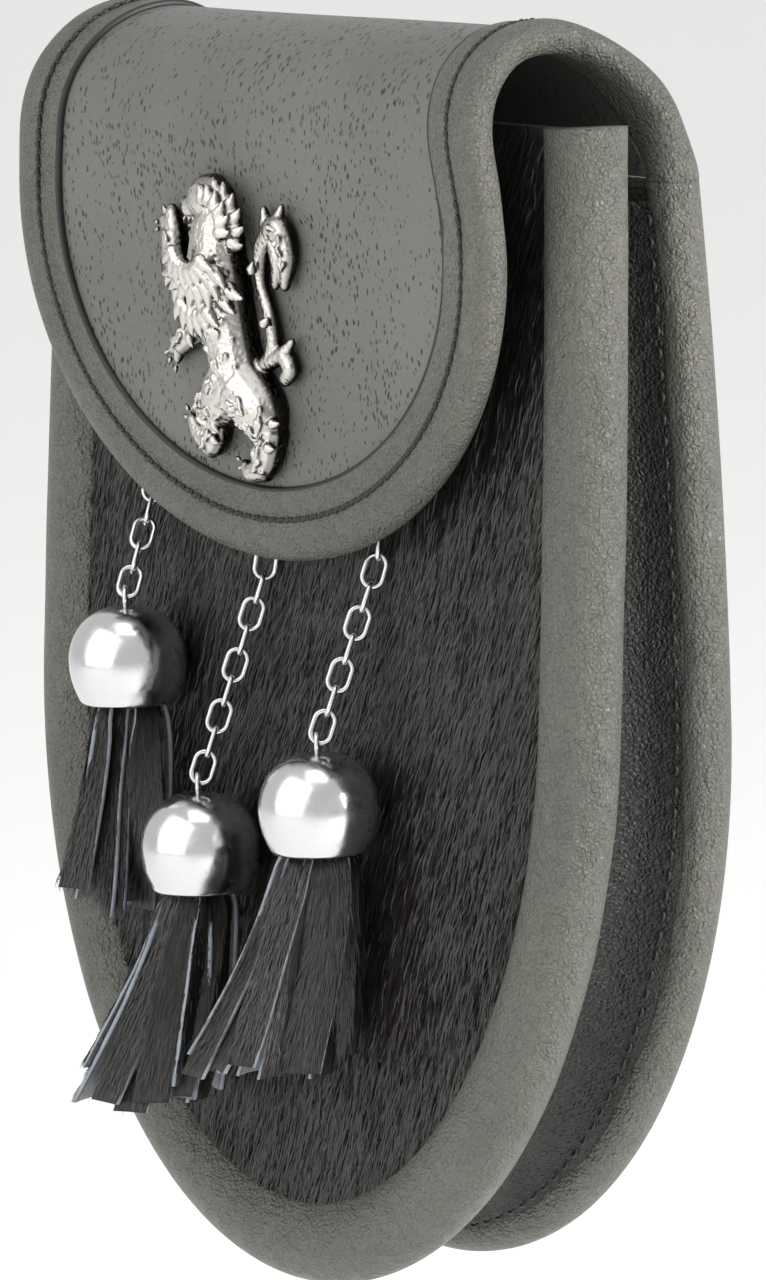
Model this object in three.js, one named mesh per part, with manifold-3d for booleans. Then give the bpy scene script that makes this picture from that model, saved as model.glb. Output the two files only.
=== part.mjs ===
// A kilt pouch (sporran): a flat leather-backed pouch with a fur front, a fold-over leather flap that carries
// a cast lion badge, and three fur tassels in metal cups that hang from short chains.
// Millimetres, +X to the wearer's left as seen from the front, +Y towards the wearer, +Z up.
// The pieces are laid out from the back panel's rear face (y = 0) and the lowest point of its rim (z = 0);
// the group then moves them so that the origin lies between the two belt loops.
import * as THREE from "three";
import Module from "manifold-3d";
import { mergeVertices } from "three/addons/utils/BufferGeometryUtils.js";

const wasm = await Module();
wasm.setup();

// ---- driving dimensions -------------------------------------------------------------------------------------
const GAP = 0.3; // clearance between pieces that touch on the real object
const BODY = { halfWidth: 72, roundHeight: 95, top: 188, frontTaper: 2.5, backTaper: 6 }; // outline of front and back
const FRONT = { y: -35.2, lean: 0.068, hide: 3.4, rimWidth: 13, rimBulge: 2.6, rimDepth: 6.8 };
const BACK = { panel: 3, rimWidth: 8, rimThick: 7, top: 178 };
const FLAP = {
  archTop: 202, // height of the fold's outer surface
  front: -37.4, // y of the front leg's outer surface where the fold ends
  archEnd: 184, // height where the fold meets the front leg
  tip: 117, // height of the lowest point of the rolled edge
  tipY: -35, // y of the outer surface at the tip
  sheet: 2.4,
  halfWidth: 61.8,
  neck: 55.5, // half-width at the top of the fold
  round: 53.5, // length of the rounded part of the flap
  rimWidth: 11,
  rimThick: 5.4,
};
const GUSSET = { wall: 1.2, fold: 10.5, backInset: 8.5, frontInset: 2.5 };
const LINK = { length: 6.0, width: 4.1, wire: 0.7, slack: 0.3 };
const CUP = { radius: 9.6, top: 7.4, bottom: 8.2, mouth: 7.6, wall: 0.9, eye: 1.8 };
const TASSEL = { length: 35, inCup: 5.5, flutes: 9 };
const LOOP = { x: 36, width: 16, height: 44, sewn: 7, clear: 5.4, leather: 2.2, z: 150 };
const BADGE = { x: -4, z: 154, base: 1.1 };

const LEATHER = { color: 0x82827a, roughness: 0.55, metalness: 0 };
const DARK_LEATHER = { color: 0x1d1b19, roughness: 0.6, metalness: 0 };
const FUR = { color: 0x1c1a1a, roughness: 0.8, metalness: 0 };
const CHROME = { color: 0xd8d8d8, roughness: 0.12, metalness: 1 };
const PEWTER = { color: 0xb9b6b0, roughness: 0.3, metalness: 1 };

// ---- solids from rings --------------------------------------------------------------------------------------
// A closed indexed geometry: equal points are merged, collapsed triangles dropped, and faces turned outwards.
function solid(points, triangles) {
  const index = new Map();
  const merged = [];
  const keyOf = (p) => [p.x, p.y, p.z].map((v) => Math.round(v * 1e4)).join();
  const at = points.map((p) => {
    const key = keyOf(p);
    if (!index.has(key)) index.set(key, merged.push(p) - 1);
    return index.get(key);
  });
  let faces = triangles
    .map((t) => t.map((i) => at[i]))
    .filter(([a, b, c]) => a !== b && b !== c && a !== c);
  const volume = faces.reduce((sum, [a, b, c]) => {
    const across = new THREE.Vector3().crossVectors(merged[b], merged[c]);
    return sum + merged[a].dot(across);
  }, 0);
  if (volume < 0) faces = faces.map(([a, b, c]) => [a, c, b]);
  return new THREE.BufferGeometry().setFromPoints(merged).setIndex(faces.flat());
}

// Joins rings that each hold the same even number of points, and closes both ends by a strip across the ring.
function loft(rings) {
  const n = rings[0].length;
  const triangles = [];
  const quad = (a, b, c, d) => triangles.push([a, b, c], [a, c, d]);
  for (let r = 0; r < rings.length - 1; r++)
    for (let i = 0; i < n; i++) {
      const next = (i + 1) % n;
      quad(r * n + i, r * n + next, (r + 1) * n + next, (r + 1) * n + i);
    }
  const last = (rings.length - 1) * n;
  for (let i = 0; i < n / 2 - 1; i++) {
    quad(n - 1 - i, n - 2 - i, i + 1, i);
    quad(last + i, last + i + 1, last + n - 2 - i, last + n - 1 - i);
  }
  return solid(rings.flat(), triangles);
}

// Sweeps a section of {across, up} points round a rim; place puts (x, along, up) into space.
function sweepRim(rim, section, place) {
  const ring = (p) => section.map((q) => place(p.x + q.across * p.nx, p.v + q.across * p.nv, q.up));
  return loft(rim.map(ring));
}

// A sheet that fills a rim, as rows from its left edge to its right one, between two heights.
function sheet(rim, inset, low, high, columns, place) {
  const half = rim.filter((p) => p.x >= -1e-6).map((p) => ({ x: p.x - inset * p.nx, v: p.v - inset * p.nv }));
  const row = (p, up) => {
    const across = Array.from({ length: columns + 1 }, (_, i) => (2 * i) / columns - 1);
    return across.map((share) => place(share * Math.max(p.x, 0), p.v, up));
  };
  return loft(half.map((p) => [...row(p, low), ...row(p, high).reverse()]));
}

// A rounded section: a flattened oval of the given width (inwards from the edge) and thickness.
function ovalSection(width, thick, centre, points, power = 0.75) {
  return Array.from({ length: points }, (_, i) => {
    const angle = (2 * Math.PI * (i + 0.5)) / points;
    const soft = (v) => Math.sign(v) * Math.abs(v) ** power;
    const across = -width / 2 + (soft(Math.cos(angle)) * width) / 2;
    return { across, up: centre + (soft(Math.sin(angle)) * thick) / 2 };
  });
}

// ---- outlines -----------------------------------------------------------------------------------------------
// A rim runs from its right end down the side, round an ellipse and up the left side. Each point has its place
// (x, v) and its outward direction (nx, nv). side(v) gives the half-width above the ellipse's centre line.
function rimOf({ ends, centre, halfWidth, roundHeight, side, sideSteps, roundSteps }) {
  const slope = (v) => (side(v + 0.5) - side(v - 0.5)) / 1;
  const right = Array.from({ length: sideSteps }, (_, i) => {
    const v = ends + ((centre - ends) * i) / sideSteps;
    const turn = Math.hypot(1, slope(v));
    return { x: side(v), v, nx: 1 / turn, nv: -slope(v) / turn };
  });
  const round = Array.from({ length: roundSteps + 1 }, (_, i) => {
    const angle = (Math.PI * i) / roundSteps;
    const nx = Math.cos(angle) / halfWidth;
    const nv = -Math.sin(angle) / roundHeight;
    const size = Math.hypot(nx, nv);
    const x = halfWidth * Math.cos(angle);
    return { x, v: centre - roundHeight * Math.sin(angle), nx: nx / size, nv: nv / size };
  });
  const left = right.map((p) => ({ ...p, x: -p.x, nx: -p.nx })).reverse();
  return [...right, ...round, ...left];
}

const sideWith = (taper) => (z) => BODY.halfWidth - taper * ((z - BODY.roundHeight) / BODY.roundHeight) ** 2;
const bodyRim = (top, taper) =>
  rimOf({
    ends: top,
    centre: BODY.roundHeight,
    halfWidth: BODY.halfWidth,
    roundHeight: BODY.roundHeight,
    side: sideWith(taper),
    sideSteps: 4,
    roundSteps: 22,
  });

// The front leans: its face is at FRONT.y at the bottom and nearer the back at the top.
const frontY = (z) => FRONT.y + FRONT.lean * z;
const onBack = (x, z, up) => new THREE.Vector3(x, up, z);
const onFront = (x, z, up) => new THREE.Vector3(x, frontY(z) + up, z);

// ---- the flap's fold ----------------------------------------------------------------------------------------
// Middle line of the flap's sheet in the YZ plane: up the back, over an elliptical arch and down the front leg.
const archHalf = (-FLAP.front - FLAP.sheet) / 2;
const foldLine = new THREE.CurvePath();
const backStart = new THREE.Vector3(0, -FLAP.sheet / 2, BACK.top + GAP);
const archFoot = new THREE.Vector3(0, -FLAP.sheet / 2, BACK.top + 2 + GAP);
const archPoints = Array.from({ length: 13 }, (_, i) => {
  const angle = (Math.PI * i) / 12;
  const foot = i < 6 ? archFoot.z : FLAP.archEnd;
  const y = -FLAP.sheet / 2 - archHalf + archHalf * Math.cos(angle);
  const z = foot + (FLAP.archTop - FLAP.sheet / 2 - foot) * Math.sin(angle) ** 0.9;
  return new THREE.Vector3(0, y, z);
});
const legEnd = new THREE.Vector3(0, FLAP.tipY + FLAP.sheet / 2, FLAP.tip);
foldLine.add(new THREE.LineCurve3(backStart, archFoot));
for (let i = 0; i < archPoints.length - 1; i++)
  foldLine.add(new THREE.LineCurve3(archPoints[i], archPoints[i + 1]));
foldLine.add(new THREE.LineCurve3(archPoints.at(-1), legEnd));
const foldLength = foldLine.getLength();
const archStart = 2;
const archLength = foldLength - archStart - legEnd.distanceTo(archPoints.at(-1));

// Puts (x, v, up) on the flap: v is the way left to the tip, up is the distance out from the sheet's middle.
function onFlap(x, v, up) {
  const share = THREE.MathUtils.clamp(1 - v / foldLength, 0, 1);
  const p = foldLine.getPointAt(share);
  const before = foldLine.getPointAt(Math.max(share - 0.02, 0));
  const after = foldLine.getPointAt(Math.min(share + 0.02, 1));
  const along = after.sub(before).normalize();
  return new THREE.Vector3(x, p.y + along.z * up, p.z - along.y * up);
}

// Half-width of the flap's edge: as wide as the back at its foot, narrow over the fold, wide again in front.
function flapSide(v) {
  const way = foldLength - v;
  const middle = archStart + archLength / 2;
  const foot = sideWith(BODY.backTaper)(BACK.top);
  const blend = (t) => THREE.MathUtils.smoothstep(t, 0, 1);
  if (way < middle) return THREE.MathUtils.lerp(foot, FLAP.neck, blend(way / middle));
  const frontWay = (way - middle) / (foldLength - FLAP.round - middle);
  return THREE.MathUtils.lerp(FLAP.neck, FLAP.halfWidth, blend(Math.min(frontWay, 1)));
}
const flapRim = rimOf({
  ends: foldLength,
  centre: FLAP.round,
  halfWidth: FLAP.halfWidth,
  roundHeight: FLAP.round,
  side: flapSide,
  sideSteps: 14,
  roundSteps: 20,
});

// ---- leather and fur pieces ---------------------------------------------------------------------------------
const backRim = bodyRim(BACK.top, BODY.backTaper);
const frontRim = bodyRim(BODY.top, BODY.frontTaper);
const backPanel = sheet(backRim, BACK.rimWidth + GAP, -BACK.panel, 0, 2, onBack);
const backBinding = sweepRim(backRim, ovalSection(BACK.rimWidth, BACK.rimThick, -BACK.rimThick / 2 + 0.6, 10), onBack);
const frontHide = sheet(frontRim, FRONT.rimWidth + GAP, 0, FRONT.hide, 2, onFront);

// The front's padded edge: bulges forward beside the fur, turns the corner and ends square at the rear.
const frontSection = [
  { across: -FRONT.rimWidth, up: 0.2 },
  { across: -FRONT.rimWidth * 0.8, up: -FRONT.rimBulge * 0.7 },
  { across: -FRONT.rimWidth * 0.5, up: -FRONT.rimBulge },
  { across: -FRONT.rimWidth * 0.2, up: -FRONT.rimBulge * 0.6 },
  { across: -0.3, up: 1.2 },
  { across: 0, up: 3.6 },
  { across: -0.6, up: FRONT.rimDepth },
  { across: -FRONT.rimWidth * 0.2, up: FRONT.rimDepth },
  { across: -FRONT.rimWidth * 0.5, up: FRONT.rimDepth * 0.8 },
  { across: -FRONT.rimWidth, up: FRONT.hide },
];
const frontBinding = sweepRim(frontRim, frontSection, onFront);

// The gusset: a thin wall that folds inwards between the front's rear edge and the back panel.
// up runs from 0 at the front to 1 at the back.
function onGusset(x, z, up) {
  const from = frontY(z) + FRONT.rimDepth + GAP;
  const to = -BACK.rimThick + 0.6 - GAP;
  return new THREE.Vector3(x, THREE.MathUtils.lerp(from, to, up), z);
}
const gussetOuter = [
  { across: -GUSSET.frontInset, up: 0 },
  { across: -GUSSET.fold * 0.8, up: 0.3 },
  { across: -GUSSET.fold, up: 0.52 },
  { across: -GUSSET.fold * 0.75, up: 0.8 },
  { across: -GUSSET.backInset * 0.55, up: 1 },
];
const gussetInner = gussetOuter.map(({ across, up }) => ({ across: across - GUSSET.wall * 1.3, up })).reverse();
const gusset = sweepRim(bodyRim(BACK.top - 2, BODY.backTaper), [...gussetOuter, ...gussetInner], onGusset);

const flapSheet = sheet(flapRim, FLAP.rimWidth + GAP, -FLAP.sheet / 2, FLAP.sheet / 2, 2, onFlap);
const flapBinding = sweepRim(flapRim, ovalSection(FLAP.rimWidth, FLAP.rimThick, 0.1, 8, 0.85), onFlap);

// ---- belt loops ---------------------------------------------------------------------------------------------
// A leather strip sewn flat at both ends and raised between them: its side view is extruded along X.
function beltLoop(x) {
  const { height, sewn, clear, leather, width } = LOOP;
  const half = height / 2;
  const inner = half - sewn;
  const shape = new THREE.Shape(
    [
      [GAP, -half],
      [GAP + leather, -half],
      [GAP + leather, -inner - 1],
      [GAP + clear + leather, -inner + leather],
      [GAP + clear + leather, inner - leather],
      [GAP + leather, inner + 1],
      [GAP + leather, half],
      [GAP, half],
      [GAP, inner],
      [GAP + clear, inner - leather],
      [GAP + clear, -inner + leather],
      [GAP, -inner],
    ].map(([y, z]) => new THREE.Vector2(y, z)),
  );
  const strip = new THREE.ExtrudeGeometry(shape, { depth: width, bevelEnabled: false });
  strip.applyMatrix4(new THREE.Matrix4().set(0, 0, 1, x - width / 2, 1, 0, 0, 0, 0, 1, 0, LOOP.z, 0, 0, 0, 1));
  return strip;
}

// ---- joining metal ------------------------------------------------------------------------------------------
function manifoldOf(geometry) {
  const bare = geometry.clone();
  bare.deleteAttribute("normal");
  bare.deleteAttribute("uv");
  const merged = mergeVertices(bare, 1e-4);
  const vertProperties = new Float32Array(merged.attributes.position.array);
  return new wasm.Manifold(new wasm.Mesh({ numProp: 3, vertProperties, triVerts: new Uint32Array(merged.index.array) }));
}
function geometryOf(joined) {
  const { vertProperties, triVerts } = joined.getMesh();
  return new THREE.BufferGeometry()
    .setAttribute("position", new THREE.BufferAttribute(new Float32Array(vertProperties), 3))
    .setIndex(new THREE.BufferAttribute(new Uint32Array(triVerts), 1));
}
const joinAll = (geometries) => geometryOf(geometries.map(manifoldOf).reduce((a, b) => a.add(b)));

// ---- chains, cups and tassels -------------------------------------------------------------------------------
// Each drop: where its cup's eye is, how many links lead up from it, and where they leave the flap's shadow.
const DROPS = [
  { name: "left", eye: [-34, -38.6, 108], under: [-38, -29.1, 124], links: 5 },
  { name: "middle", eye: [-13, -40.8, 80.2], under: [-8, -29.2, 115], links: 10 },
  { name: "right", eye: [17.8, -40.1, 90.2], under: [20.6, -29.1, 118], links: 8 },
].map((d) => ({ ...d, eye: new THREE.Vector3(...d.eye), under: new THREE.Vector3(...d.under) }));
const pitch = LINK.length - 2 * LINK.wire - LINK.slack;

// A link: a ring whose two halves are moved apart along Z.
function linkGeometry() {
  const ring = new THREE.TorusGeometry(LINK.width / 2 - LINK.wire / 2, LINK.wire / 2, 6, 12);
  ring.rotateZ(Math.PI / 12);
  const stretch = (LINK.length - LINK.width) / 2;
  const p = ring.attributes.position;
  for (let i = 0; i < p.count; i++) p.setY(i, p.getY(i) + Math.sign(p.getY(i)) * stretch);
  return ring.rotateX(Math.PI / 2);
}

// The chain's line: straight from the eye to where it passes the flap's edge, then straight up beside the fur.
function chainPoint(drop, way) {
  const lean = drop.under.clone().sub(drop.eye);
  const first = lean.length();
  if (way <= first) return drop.eye.clone().addScaledVector(lean.normalize(), way);
  return drop.under.clone().add(new THREE.Vector3(0, FRONT.lean * (way - first), way - first));
}

// The cup: a rounded shell open below, with a round eye on top. z = 0 at the eye's centre.
function cupGeometry() {
  const { radius, top, bottom, mouth, wall, eye } = CUP;
  const outer = [
    [0, top],
    [4.2, top - 0.5],
    [7.2, top - 2.4],
    [9.1, 2.2],
    [radius, -1.4],
    [9.3, -4.8],
    [mouth + 0.3, -bottom],
  ];
  const inner = outer.map(([r, z]) => [Math.max(r - wall, 0), z - (z > 0 ? wall : 0)]).reverse();
  const profile = [...outer, ...inner].map(([r, z]) => new THREE.Vector2(r, z));
  const shell = new THREE.LatheGeometry(profile.reverse(), 20).rotateX(Math.PI / 2);
  shell.translate(0, 0, -top - eye + 0.4);
  const ring = new THREE.TorusGeometry(eye, LINK.wire / 2, 6, 12);
  return joinAll([shell, ring.rotateX(Math.PI / 2)]);
}

// The tassel's outer form: a fluted cone that leans as its strips do.
function tasselGeometry(lean) {
  const sides = 2 * TASSEL.flutes;
  const rows = [
    { way: 0, r: 4.4, flute: 0.05 },
    { way: TASSEL.inCup, r: 5, flute: 0.1 },
    { way: 16, r: 8.6, flute: 0.14 },
    { way: 27, r: 10.8, flute: 0.18 },
    { way: TASSEL.length + TASSEL.inCup, r: 12.4, flute: 0.22 },
  ];
  return loft(
    rows.map(({ way, r, flute }) =>
      Array.from({ length: sides }, (_, i) => {
        const angle = (2 * Math.PI * (i + 0.5)) / sides;
        const reach = r * (1 + (i % 2 ? flute : -flute) / 2);
        const x = reach * Math.cos(angle) + lean.x * way;
        const y = reach * Math.sin(angle) * lean.flat + lean.y * way;
        return new THREE.Vector3(x, y, -way);
      }),
    ),
  );
}

// A post under the flap: a sewn-in tab with an eye, turned by the given angle, that holds the top link.
function postGeometry(turn) {
  const tab = new THREE.BoxGeometry(2.6, 0.8, 3.6).translate(0, 0.4, 3.3);
  const ring = new THREE.TorusGeometry(CUP.eye, LINK.wire / 2, 6, 12).rotateX(Math.PI / 2);
  return joinAll([tab, ring.rotateZ(turn)]);
}

// ---- the badge ----------------------------------------------------------------------------------------------
// A lion standing on one hind leg, as limbs of round section along short lines, cut flat at the back.
// Each limb: points of {x, z, r}, in millimetres from the badge's centre, r the limb's radius there.
const LIMBS = {
  trunk: [[-3.5, 9, 6], [-2.5, 3, 5.6], [0, -4, 4.6], [2, -9, 5]],
  mane: [[-3, 15, 5.2], [-4.5, 9, 6.4], [-5, 4, 4.2]],
  head: [[-4, 19.5, 4.4], [-8.5, 17.6, 2.8]],
  upper_paw: [[-7, 7, 2.6], [-11.5, 10, 2.2], [-13.5, 15.5, 2.2]],
  lower_paw: [[-6, 1.5, 2.6], [-10, -1.5, 2.1], [-13.6, -4.6, 2]],
  raised_leg: [[-1, -8, 4.2], [-6.5, -11.5, 2.8], [-4.5, -17, 2.3], [-8.5, -18.5, 1.9], [-11, -15.5, 1.7]],
  standing_leg: [[3, -9, 4.8], [8, -13.5, 3.4], [8, -19, 2.5], [3.5, -22, 2.1]],
  tail: [[3.5, -6, 1.3], [7.5, -4.5, 1.3], [10, 1, 1.1], [7.2, 7, 1.1], [7, 13, 1.3], [10.5, 17, 2.3], [13.5, 12.5, 2], [12, 8.5, 1.2]],
  tail_curl: [[8, -4, 1.2], [12, -4.2, 1.6], [14.6, -3.6, 2.1]],
};
function limbGeometry(points) {
  const rings = points.map(([x, z, r], i) => {
    const [x0, z0] = points[Math.max(i - 1, 0)];
    const [x1, z1] = points[Math.min(i + 1, points.length - 1)];
    const side = new THREE.Vector2(z1 - z0, x0 - x1).normalize();
    return Array.from({ length: 8 }, (_, k) => {
      const angle = (2 * Math.PI * (k + 0.5)) / 8;
      const out = r * Math.cos(angle);
      return new THREE.Vector3(x + side.x * out, r * 0.75 * Math.sin(angle), z + side.y * out);
    });
  });
  return loft(rings);
}
function badgeGeometry() {
  const joints = Object.values(LIMBS)
    .flat()
    .map(([x, z, r]) => new THREE.SphereGeometry(r, 8, 6).scale(1, 0.75, 1).translate(x, 0, z));
  const limbs = Object.values(LIMBS).map(limbGeometry);
  const whole = joinAll([...limbs, ...joints]);
  const behind = new THREE.BoxGeometry(80, 20, 80).translate(0, 10 + BADGE.base, 0);
  return geometryOf(manifoldOf(whole).subtract(manifoldOf(behind)));
}

// ---- assembly -----------------------------------------------------------------------------------------------
const pouch = new THREE.Group();
const at = (x, y, z) => new THREE.Vector3(x, y, z);
function add(name, geometry, finish, place = at(0, 0, 0)) {
  const mesh = new THREE.Mesh(geometry, new THREE.MeshStandardMaterial(finish));
  mesh.name = name;
  mesh.position.copy(place);
  pouch.add(mesh);
  return mesh;
}

add("back_panel", backPanel, LEATHER);
add("back_binding", backBinding, LEATHER);
add("flap_panel", flapSheet, LEATHER);
add("flap_binding", flapBinding, LEATHER);
add("front_hide", frontHide, FUR);
add("front_binding", frontBinding, LEATHER);
add("gusset", gusset, DARK_LEATHER);
add("belt_loop_left", beltLoop(-LOOP.x), LEATHER);
add("belt_loop_right", beltLoop(LOOP.x), LEATHER);

const legSlope = Math.atan2(legEnd.y - archPoints.at(-1).y, archPoints.at(-1).z - legEnd.z);
const badgeWay = BADGE.z - legEnd.z;
const badge = add("lion_badge", badgeGeometry(), PEWTER, onFlap(BADGE.x, badgeWay, FLAP.sheet / 2 + BADGE.base + GAP));
badge.rotation.x = legSlope;

const link = linkGeometry();
const TWIST = (50 * Math.PI) / 180; // turn of the first link about the chain's line
const TASSEL_LEAN = {
  left: { x: -0.04, y: -0.12, flat: 0.72 },
  middle: { x: -0.14, y: -0.2, flat: 0.72 },
  right: { x: -0.14, y: -0.2, flat: 0.72 },
};
for (const drop of DROPS) {
  for (let i = 0; i < drop.links; i++) {
    const lower = chainPoint(drop, i * pitch + LINK.wire);
    const upper = chainPoint(drop, (i + 1) * pitch + LINK.wire);
    const mesh = add(`link_${drop.name}_${i + 1}`, link, CHROME, lower.clone().lerp(upper, 0.5));
    mesh.quaternion.setFromUnitVectors(at(0, 0, 1), upper.sub(lower).normalize());
    mesh.rotateZ(TWIST + (i * Math.PI) / 2);
  }
  const top = chainPoint(drop, drop.links * pitch + 2 * LINK.wire);
  add(`post_${drop.name}`, postGeometry(TWIST + (drop.links * Math.PI) / 2), CHROME, top);
  add(`cup_${drop.name}`, cupGeometry(), CHROME, drop.eye).rotation.z = TWIST - Math.PI / 2;
  const fringeTop = drop.eye.clone().add(at(0, 0, -CUP.top - CUP.eye - CUP.bottom + TASSEL.inCup));
  add(`tassel_${drop.name}`, tasselGeometry(TASSEL_LEAN[drop.name]), FUR, fringeTop);
}
pouch.position.set(0, -GAP - LOOP.clear / 2, -LOOP.z);
const part = new THREE.Group();
part.add(pouch);
export default part;
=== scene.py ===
# %% [markdown]
# # A sporran pouch
# A sporran is the pouch worn at the front of a kilt. This one has a leather back, a front of short dark hair,
# a flap that folds over the top, padded leather rims, a cast lion badge and three tassels on chains.
# The imported CAD model is loaded first: most new pieces stand for one or more of its nodes, which are hidden.

import bpy
import math
import numpy as np
from mathutils import Matrix, Vector


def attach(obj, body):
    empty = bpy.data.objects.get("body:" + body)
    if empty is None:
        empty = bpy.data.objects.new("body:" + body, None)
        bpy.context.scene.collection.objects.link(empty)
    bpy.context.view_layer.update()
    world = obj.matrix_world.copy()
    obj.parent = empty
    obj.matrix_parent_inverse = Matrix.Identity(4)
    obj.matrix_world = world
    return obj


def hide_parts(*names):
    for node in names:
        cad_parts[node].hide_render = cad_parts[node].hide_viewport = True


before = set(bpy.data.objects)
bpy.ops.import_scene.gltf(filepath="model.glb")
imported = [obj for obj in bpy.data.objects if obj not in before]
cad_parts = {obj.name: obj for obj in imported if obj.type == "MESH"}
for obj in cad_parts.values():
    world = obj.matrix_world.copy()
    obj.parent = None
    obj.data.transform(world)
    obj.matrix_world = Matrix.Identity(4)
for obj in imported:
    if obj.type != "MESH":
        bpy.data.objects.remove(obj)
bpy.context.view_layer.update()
rng = np.random.default_rng(7)
MM = 0.001
ORIGIN = np.array([0.0, -3.0, -150.0])  # from the back's rear face and lowest point to the belt loops, in mm

# %% [markdown]
# ## Camera
# The camera stands well back with a long lens, about 50 degrees round to the wearer's left and slightly above.
# A long lens keeps the near and far ends of the fold almost the same size.

# %% Camera
CAMERA = {"azimuth": 52.21, "elevation": 8.99, "roll": -1.77, "lens": 211.9}
CAMERA_PLACE = Vector((0.9431, -0.7469, 0.1403))


def camera_axes(azimuth, elevation, roll):
    """Right, up and backward directions: the view turned round +Z, raised, then rolled about its own axis."""
    a, e, t = (math.radians(v) for v in (azimuth, elevation, roll))
    back = Vector((math.sin(a) * math.cos(e), -math.cos(a) * math.cos(e), math.sin(e)))
    right = Vector((math.cos(a), math.sin(a), 0))
    up = back.cross(right)
    return math.cos(t) * right + math.sin(t) * up, math.cos(t) * up - math.sin(t) * right, back


scene = bpy.context.scene
camera = bpy.data.objects.new("camera", bpy.data.cameras.new("camera"))
scene.collection.objects.link(camera)
axes = camera_axes(CAMERA["azimuth"], CAMERA["elevation"], CAMERA["roll"])
camera.matrix_world = Matrix.Translation(CAMERA_PLACE) @ Matrix(axes).transposed().to_4x4()
camera.data.lens = CAMERA["lens"]
camera.data.sensor_width = 36
scene.camera = camera
print("camera", CAMERA)

# %% [markdown]
# ## Meshes from grids
# Every leather piece is a surface worked out on a grid: one direction runs along the rim or the panel, the
# other across it. One helper turns such a grid into a mesh, closes it, and turns its faces outwards.


# %% Grid helpers
def new_mesh(name, points, faces, smooth=True):
    """A mesh object from points in millimetres of the pouch's own layout, and faces as lists of indices."""
    mesh = bpy.data.meshes.new(name)
    mesh.from_pydata(((points + ORIGIN) * MM).tolist(), [], faces)
    mesh.update()
    mesh.polygons.foreach_set("use_smooth", np.full(len(mesh.polygons), smooth))
    piece = bpy.data.objects.new(name, mesh)
    scene.collection.objects.link(piece)
    return piece


def grid_quads(rows, columns, wrap):
    """The quads between neighbouring points of a rows by columns grid; wrap joins the last column to the first."""
    index = np.arange(rows * columns).reshape(rows, columns)
    if wrap:
        index = np.concatenate([index, index[:, :1]], axis=1)
    corners = [index[:-1, :-1], index[:-1, 1:], index[1:, 1:], index[1:, :-1]]
    return np.stack(corners, axis=-1).reshape(-1, 4)


def end_faces(rows, columns):
    """One face over the first row of a wrapped grid, turned round, and one over the last."""
    return [list(range(columns))[::-1], list(range((rows - 1) * columns, rows * columns))]


def signed_volume(points, quads):
    """Six times the volume inside the quads: positive when they face outwards."""
    a, b, c, d = (points[quads[:, i]] for i in range(4))
    return np.einsum("ij,ij->i", a, np.cross(b, c) + np.cross(c, d)).sum()


def outward_quads(points, quads):
    """The quads, turned round if they face inwards."""
    return quads if signed_volume(points - points.mean(0), quads) > 0 else quads[:, ::-1]


def tube_piece(name, grid):
    """A closed piece from a grid whose rows are closed loops; both ends are closed by one face each."""
    rows, columns, _ = grid.shape
    points = grid.reshape(-1, 3)
    quads = grid_quads(rows, columns, True)
    faces = quads.tolist() + end_faces(rows, columns)
    if signed_volume(points - points.mean(0), quads) < 0:
        faces = [f[::-1] for f in faces]
    return new_mesh(name, points, faces)


def slab_grid(front, rear):
    """A closed loop for each row: across the front surface, then back across the rear one."""
    return np.concatenate([front, rear[:, ::-1]], axis=1)


def set_uv(piece, u, v):
    """Gives each face corner the (u, v) of its point, so that a pattern follows the surface."""
    mesh = piece.data
    layer = mesh.uv_layers.new(name="surface")
    corner = np.zeros(len(mesh.loops), dtype=np.int32)
    mesh.loops.foreach_get("vertex_index", corner)
    layer.data.foreach_set("uv", np.stack([u.ravel()[corner], v.ravel()[corner]], axis=1).ravel())


def set_tone(piece, tone):
    """One brightness number per point, which the material reads as the attribute "tone"."""
    piece.data.attributes.new("tone", "FLOAT", "POINT").data.foreach_set("value", tone.astype(np.float32).ravel())


def finish_piece(piece, nodes=(), materials=()):
    """Gives a piece its finish, hides the CAD nodes that it stands for, and hangs it on the body that it moves with.
    """
    for material in materials:
        piece.data.materials.append(material)
    if nodes:
        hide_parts(*nodes)
    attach(piece, "root")
    print(piece.name, len(piece.data.polygons), "faces")
    return piece


# %% [markdown]
# ## Leather and hide materials
# All patterns are procedural. Grain is a fine cell pattern in the bump, wrinkles are a noise about three times
# as coarse, and colour varies softly with a slower one. Pigskin also has its short dark bristle pores.


# %% Material helpers
def new_material(name, color, roughness, metallic=0.0, specular=0.5):
    """A Principled material; returns it with its node tree and its shader."""
    material = bpy.data.materials.new(name)
    material.use_nodes = True
    tree = material.node_tree
    shader = tree.nodes["Principled BSDF"]
    shader.inputs["Base Color"].default_value = (*color, 1)
    shader.inputs["Roughness"].default_value = roughness
    shader.inputs["Metallic"].default_value = metallic
    shader.inputs["Specular IOR Level"].default_value = specular
    return material, tree, shader


def feed(tree, socket, value):
    """Links a socket to another one, or sets it to a constant."""
    if isinstance(value, bpy.types.NodeSocket):
        tree.links.new(value, socket)
    else:
        socket.default_value = value


def node(tree, kind, inputs=(), **settings):
    """Adds a node, sets its properties, and sets or links its inputs."""
    made = tree.nodes.new(kind)
    for key, value in settings.items():
        setattr(made, key, value)
    for key, value in dict(inputs).items():
        feed(tree, made.inputs[key], value)
    return made


def place_vector(tree, scale=(1, 1, 1), turn=(0, 0, 0), source="Object"):
    """Object or UV coordinates, turned and stretched."""
    coordinates = node(tree, "ShaderNodeTexCoord")
    inputs = {"Vector": coordinates.outputs[source], "Scale": scale, "Rotation": turn}
    return node(tree, "ShaderNodeMapping", inputs).outputs["Vector"]


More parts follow.
